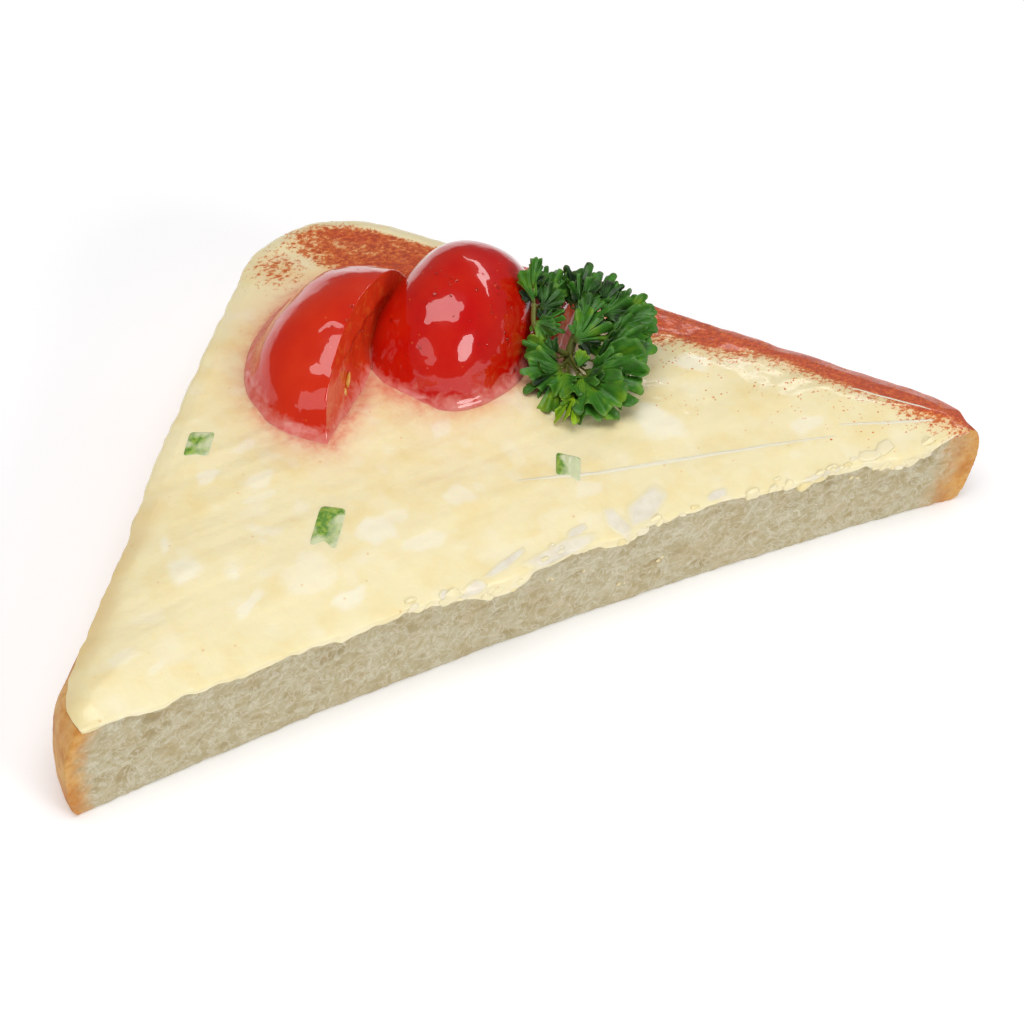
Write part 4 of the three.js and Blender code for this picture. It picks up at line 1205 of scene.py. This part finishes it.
def leafShape(foot, tip, spread, roll, tone, order):
    # a leaflet with round lobes, fanned out from its foot, folded and ruffled towards its rim
    rng = np.random.default_rng(900 + order)
    length = np.linalg.norm(tip - foot)
    across = np.linspace(-1, 1, sprig["fans"] + 1)[None, :]
    step = (np.arange(1, sprig["steps"] + 1) / sprig["steps"])[:, None] ** 0.85
    widest = math.radians(spread) * 1.06 + 0.16
    angle = widest * across * (0.6 + 0.4 * step)
    rim = rimReach(widest * across, math.radians(spread), order)
    rim = rim * (1 - 0.35 * np.clip(np.abs(across) - 0.93, 0, 1) / 0.07)
    reach = length * step * mix(1, rim, smoothStep(step, 0.1, 0.8))
    phase, curl, fold = rng.uniform(0, 2 * math.pi), rng.uniform(-0.05, 0.28), rng.uniform(-0.25, 0.35)
    ruffle = 0.13 * np.cos(5 * across + phase) + 0.08 * step * np.cos(14 * across + 2 * phase)
    veins = np.abs(np.sin(4.5 * math.pi * across + 0.5 * phase))
    y = reach * np.sin(angle)
    z = length * (step ** 2 * (ruffle - curl) + 0.05 * veins * step * (1.2 - step)) + fold * np.abs(y)
    thick = sprig["thickness"] / 2 * (1 - 0.4 * step)
    sheet = np.broadcast_arrays(reach * np.cos(angle), y, z, thick, step, 1 - veins)
    sheet = np.concatenate([[[0, 0, 0, thick[0, 0], 0, 1]], np.stack(sheet, -1).reshape(-1, 6)])
    lift = sheet[:, 3:4] * [0, 0, 1]
    local = np.concatenate([sheet[:, :3] + lift, sheet[:, :3] - lift])
    count = len(sheet)
    rows = [[0] * across.size] + np.arange(1, count).reshape(-1, across.size).tolist()
    faces = []
    for near, far in zip(rows, rows[1:]):
        for corners in zip(near, far, far[1:], near[1:]):
            upper = list(dict.fromkeys(corners))
            faces += [upper, [count + i for i in (upper[0], *upper[:0:-1])]]
        faces.append([near[0], count + near[0], count + far[0], far[0]])
        faces.append([far[-1], count + far[-1], count + near[-1], near[-1]])
    faces += [[a, count + a, count + b, b] for a, b in zip(rows[-1], rows[-1][1:])]
    forward = Vector((tip - foot) / length)
    sideways = Vector((0, 0, 1)).cross(forward).normalized()
    sideways.rotate(Matrix.Rotation(math.radians(roll), 3, forward))
    basis = np.array([forward[:], sideways[:], forward.cross(sideways)[:]])
    masks = np.stack([sheet[:, 4], np.full(count, tone), sheet[:, 5]], 1)
    return foot + local @ basis, faces, np.concatenate([masks, masks])


def unit(vectors):
    return vectors / np.linalg.norm(vectors, axis=-1, keepdims=True)


def stalkShape(path, radii, tone, sides=12, parts=8):
    # a round ribbed stalk along a smooth path through the points
    centres = ringsBetween(path, parts)
    ahead = unit(np.gradient(centres, axis=0))
    aside = unit(np.cross([0.3, 0.2, 0.93], ahead))
    widths = np.interp(np.linspace(0, 1, len(centres)), np.linspace(0, 1, len(radii)), radii)
    angle = around(sides)
    out = (widths[:, None] * (1 + 0.08 * np.cos(4 * angle)))[..., None]
    above = np.cross(ahead, aside)
    turns = np.cos(angle)[:, None] * aside[:, None] + np.sin(angle)[:, None] * above[:, None]
    points, faces = skinRings(centres[:, None] + out * turns, centres[0], centres[-1])
    return points, faces, np.tile([0.0, tone, 1.0], (len(points), 1))


def sprigShape():
    rng = np.random.default_rng(5)
    shapes = [stalkShape(path, radii, 0.6) for path, radii in sprig["stems"]]
    joints = [ringsBetween(path, 6) for path, _ in sprig["stems"]]
    for order, (foot, tip, spread, roll, tone) in enumerate(leaves):
        foot, tip = np.array(foot), np.array(tip)
        stem = joints[1 if foot[0] < -2.5 else 0]
        start = stem[np.argmin(np.linalg.norm(stem - foot, axis=1))]
        if np.linalg.norm(start - foot) > 0.3:
            path = [start, (start + foot) / 2 - [0, 0, 0.4], foot]
            shapes.append(stalkShape(path, sprig["petiole"], 0.5, 8, 5))
        shapes.append(leafShape(foot, tip, spread, roll, tone, order))
        heading = tip - foot
        for k, side in enumerate((-1, 1)):
            # a smaller leaflet on each side, lower, and darker as painted shade
            subFoot = foot + 0.08 * heading - [0, 0, 0.3]
            subTip = subFoot + rng.uniform(0.35, 0.6) * heading
            subTip = subTip + rng.uniform(0.25, 0.42) * side * np.cross([0, 0, 1], heading)
            subTip = subTip + [0, 0, rng.uniform(-0.9, 0.5)]
            tilt, paintedShade = roll + side * 30, float(np.clip(tone + rng.uniform(-0.45, -0.05), 0, 1))
            shapes.append(leafShape(subFoot, subTip, 0.9 * spread, tilt, paintedShade, 100 + 2 * order + k))
    points, faces, masks = joinShapes(shapes)
    return points @ np.array(tilted(*sprig["attitude"])).T + sprig["root"], faces, masks


parsleyLook = {
    # painted shade: the darkest green, given to leaflets lying in shade
    "paintedShade": "#102c0b",
    "leaf": "#3f7a22",
    "bright": "#8fb310",
    "stalk": "#6b6f30",
    "tipPale": "#9bb552",
    "cloud": 2.5,
    "grain": 0.4,
    "roughness": 0.4,
}


def freshParsley():
    # Fresh curly parsley: matt waxy leaf with paler veins, stalks and rims; its leaflets toned with painted
    # light and shade.
    look = parsleyLook
    material, node, place, masks = newMaterial("freshParsley")
    cloud = node("TexNoise", {"Vector": place, "Scale": patternScale(look["cloud"]), "Detail": 3.0})
    grain = node("TexNoise", {"Vector": place, "Scale": patternScale(look["grain"])})
    tone = node("Math", {
        0: node("MapRange", {0: cloud, 1: 0.3, 2: 0.7, 3: -0.25, 4: 0.25}),
        1: masks[1]}, operation="ADD", use_clamp=True)
    # painted light and shade: a leaflet's tone runs from the painted-shade green through the leaf green to a
    # bright green that is partly the leaf's own paler green and partly painted light
    low = layer(node, look["paintedShade"], look["leaf"], tone, 0.0, 0.5)
    green = layer(node, low, look["bright"], tone, 0.5, 1.0)
    rimmed = layer(node, green, look["tipPale"], masks[0], 0.93, 1.0, 0.12)
    veinShare = node("MapRange", {0: masks[2], 1: 0.75, 2: 1.0, 4: 0.3})
    stalkShare = node("MapRange", {0: masks[0], 1: 0.2, 2: 0.0})
    colourShare = node("Math", {0: veinShare, 1: stalkShare}, operation="MAXIMUM")
    colour = node("Mix", {0: colourShare, 6: rimmed, 7: look["stalk"]})
    relief = node("Bump", {"Height": grain, "Strength": 0.35, "Distance": 0.1 * mm})
    shader = node("BsdfPrincipled", {
        "Base Color": colour, "Roughness": look["roughness"], "IOR": 1.42, "Subsurface Weight": 0.1,
        "Subsurface Radius": (0.5, 1.0, 0.2), "Subsurface Scale": 0.5 * mm, "Normal": relief})
    node("OutputMaterial", {"Surface": shader})
    return material


addPiece("parsleySprig", sprigShape(), freshParsley(), ["parsley_sprig"])
print("parsley done")

# Ground paprika, dusted over the right leg's edge and the back corner.
dusting = {"tries": 60000, "smallest": 0.07, "largest": 0.20, "seed": 77}


def paprikaShape():
    rng = np.random.default_rng(dusting["seed"])
    x, y = rng.uniform(-half, half, dusting["tries"]), rng.uniform(0, half, dusting["tries"])
    fromLeft, fromRight = (half + x - y) / math.sqrt(2), (half - x - y) / math.sqrt(2)
    inside = (fromLeft > 1) & (fromRight > 0.3) & (distanceInside(x, y) > 0.5) & (nearestTomato(x, y) > 0.3)
    clump = 0.45 + 0.55 * planNoise(x, y / 0.7, 2.8, 81) + 0.3 * planNoise(x, y / 0.7, 1.0, 82)
    keep = inside & (rng.uniform(0, 1, dusting["tries"]) < 0.7 * paprikaDensity(x, y) * clump)
    z = saladUnder(x[keep], y[keep])
    x, y, z = x[keep][z > 0], y[keep][z > 0], z[z > 0]
    size = mix(dusting["smallest"], dusting["largest"], rng.beta(1.2, 3.0, len(x)))
    corners = np.array([(1, 0, 0), (0, 1, 0), (-1, 0, 0), (0, -1, 0), (0, 0, 0.35), (0, 0, -1.2)])
    sides = [[i, (i + 1) % 4, 4] for i in range(4)] + [[(i + 1) % 4, i, 5] for i in range(4)]
    shapes = []
    for place, big, alone in zip(np.stack([x, y, z + 0.05 * size], 1), size, 1.2 - paprikaDensity(x, y)):
        grainX, grainY, grainZ = (corners * (1 + rng.uniform(-0.35, 0.35, (6, 3))) * big).T
        plan = turned(grainX, grainY, -math.degrees(rng.uniform(0, 2 * math.pi)))
        points = np.stack([*plan, grainZ], 1) + place
        shapes.append((points, sides, np.full((6, 3), rng.uniform(0, 1) * alone)))
    return joinShapes(shapes)


paprikaLook = {
    "red": "#e98434",
    "deep": "#cd5a1e",
    "orange": "#ffb24e",
    "grain": 0.15,
    "roughness": 0.5,
}


def groundPaprika():
    # Sweet paprika, dried and ground: dull brick-red flakes wetted by the glaze.
    look = paprikaLook
    material, node, place, masks = newMaterial("groundPaprika")
    grain = node("TexNoise", {"Vector": place, "Scale": patternScale(look["grain"]), "Detail": 1.0})
    tone = node("Mix", {0: masks[0], 6: look["deep"], 7: look["orange"]})
    colour = node("Mix", {0: grain, 6: tone, 7: look["red"]})
    relief = node("Bump", {"Height": grain, "Strength": 0.4, "Distance": 0.05 * mm})
    shader = node("BsdfPrincipled", {
        "Base Color": colour, "Roughness": look["roughness"], "IOR": 1.45, "Coat Weight": 0.3,
        "Coat Roughness": 0.2, "Coat IOR": 1.35, "Normal": relief})
    node("OutputMaterial", {"Surface": shader})
    return material


addPiece("paprikaGrains", paprikaShape(), groundPaprika())
print("paprika done")

# Studio: a light table, soft boxes and the camera of the photograph.
studio = {
    "floor": "#f6f6f7",
    "floorSize": 6.0,
    "worldStrength": 0.16,
    "tableGlow": 0.2,
    "attitude": (-37.61, 45.03, 9.74),
    "distance": 450,
    "target": (5.56, 17.85, 6.0),
    "focal": 3581.39,  # in widths of a pixel of a picture 1024 wide
    "pictureWidth": 1024,
    "sensor": 36,
}
softBoxes = [  # direction to the light and its long side, distance in metres, sides in metres, power
    {"name": "topBox", "toward": (-0.22, -0.04, 0.95), "along": (0.87, -0.5, 0), "away": 0.75,
     "size": (0.84, 0.46), "power": 3.95},
    {"name": "frontBox", "toward": (0.25, -0.83, 0.42), "along": (0.87, 0.3, 0), "away": 0.8,
     "size": (0.42, 0.30), "power": 2.2},
    {"name": "rimBox", "toward": (0.76, 0.32, 0.52), "along": (-0.4, 0.9, 0), "away": 0.8,
     "size": (0.80, 0.08), "power": 0.88},
    {"name": "leftBox", "toward": (-0.82, -0.32, 0.42), "along": (-0.3, 0.9, 0), "away": 0.8,
     "size": (0.55, 0.36), "power": 0.72},
]


def opalTable():
    # Opal acrylic of a light table: sanded matt white, glowing faintly from below.
    material, node, place, _ = newMaterial("opalTable")
    tooth = node("TexNoise", {"Vector": place, "Scale": patternScale(3)})
    relief = node("Bump", {"Height": tooth, "Strength": 0.05, "Distance": 0.05 * mm})
    shader = node("BsdfPrincipled", {
        "Base Color": studio["floor"], "Roughness": 0.9, "Specular IOR Level": 0.1,
        "Emission Color": studio["floor"], "Emission Strength": studio["tableGlow"], "Normal": relief})
    node("OutputMaterial", {"Surface": shader})
    return material


def buildStudio():
    scene = bpy.context.scene
    bm = bmesh.new()
    bmesh.ops.create_grid(bm, x_segments=2, y_segments=2, size=studio["floorSize"] / 2)
    mesh = bpy.data.meshes.new("floor")
    bm.to_mesh(mesh)
    bm.free()
    mesh.materials.append(opalTable())
    floor = addObject("floor", mesh)
    floor.location.z = cadLow.z
    scene.world = bpy.data.worlds.new("studioWorld")
    scene.world.use_nodes = True
    background = scene.world.node_tree.nodes["Background"].inputs
    background["Color"].default_value = (1, 1, 1, 1)
    background["Strength"].default_value = studio["worldStrength"]
    aim = Vector(toPart([studio["target"]])[0])
    for box in softBoxes:
        light = bpy.data.lights.new(box["name"], "AREA")
        light.shape = "ELLIPSE"
        light.size, light.size_y = box["size"]
        light.energy = box["power"]
        lamp = addObject(box["name"], light)
        toward = Vector(box["toward"]).normalized()
        upward = toward.cross(Vector(box["along"])).normalized()
        lamp.location = aim + toward * box["away"]
        lamp.rotation_euler = Matrix((upward.cross(toward), upward, toward)).transposed().to_euler()
    scene.view_settings.view_transform = "Standard"
    scene.view_settings.look = "None"
    camera = bpy.data.cameras.new("camera")
    camera.sensor_width = studio["sensor"]
    camera.lens = studio["focal"] / studio["pictureWidth"] * studio["sensor"]
    camera.clip_start, camera.clip_end = 0.01, 20
    attitude = tilted(*studio["attitude"])
    scene.camera = addObject("camera", camera)
    eye = aim + attitude @ Vector((0, 0, studio["distance"] * mm))
    scene.camera.matrix_world = Matrix.Translation(eye) @ attitude.to_4x4()


buildStudio()
print("studio done")
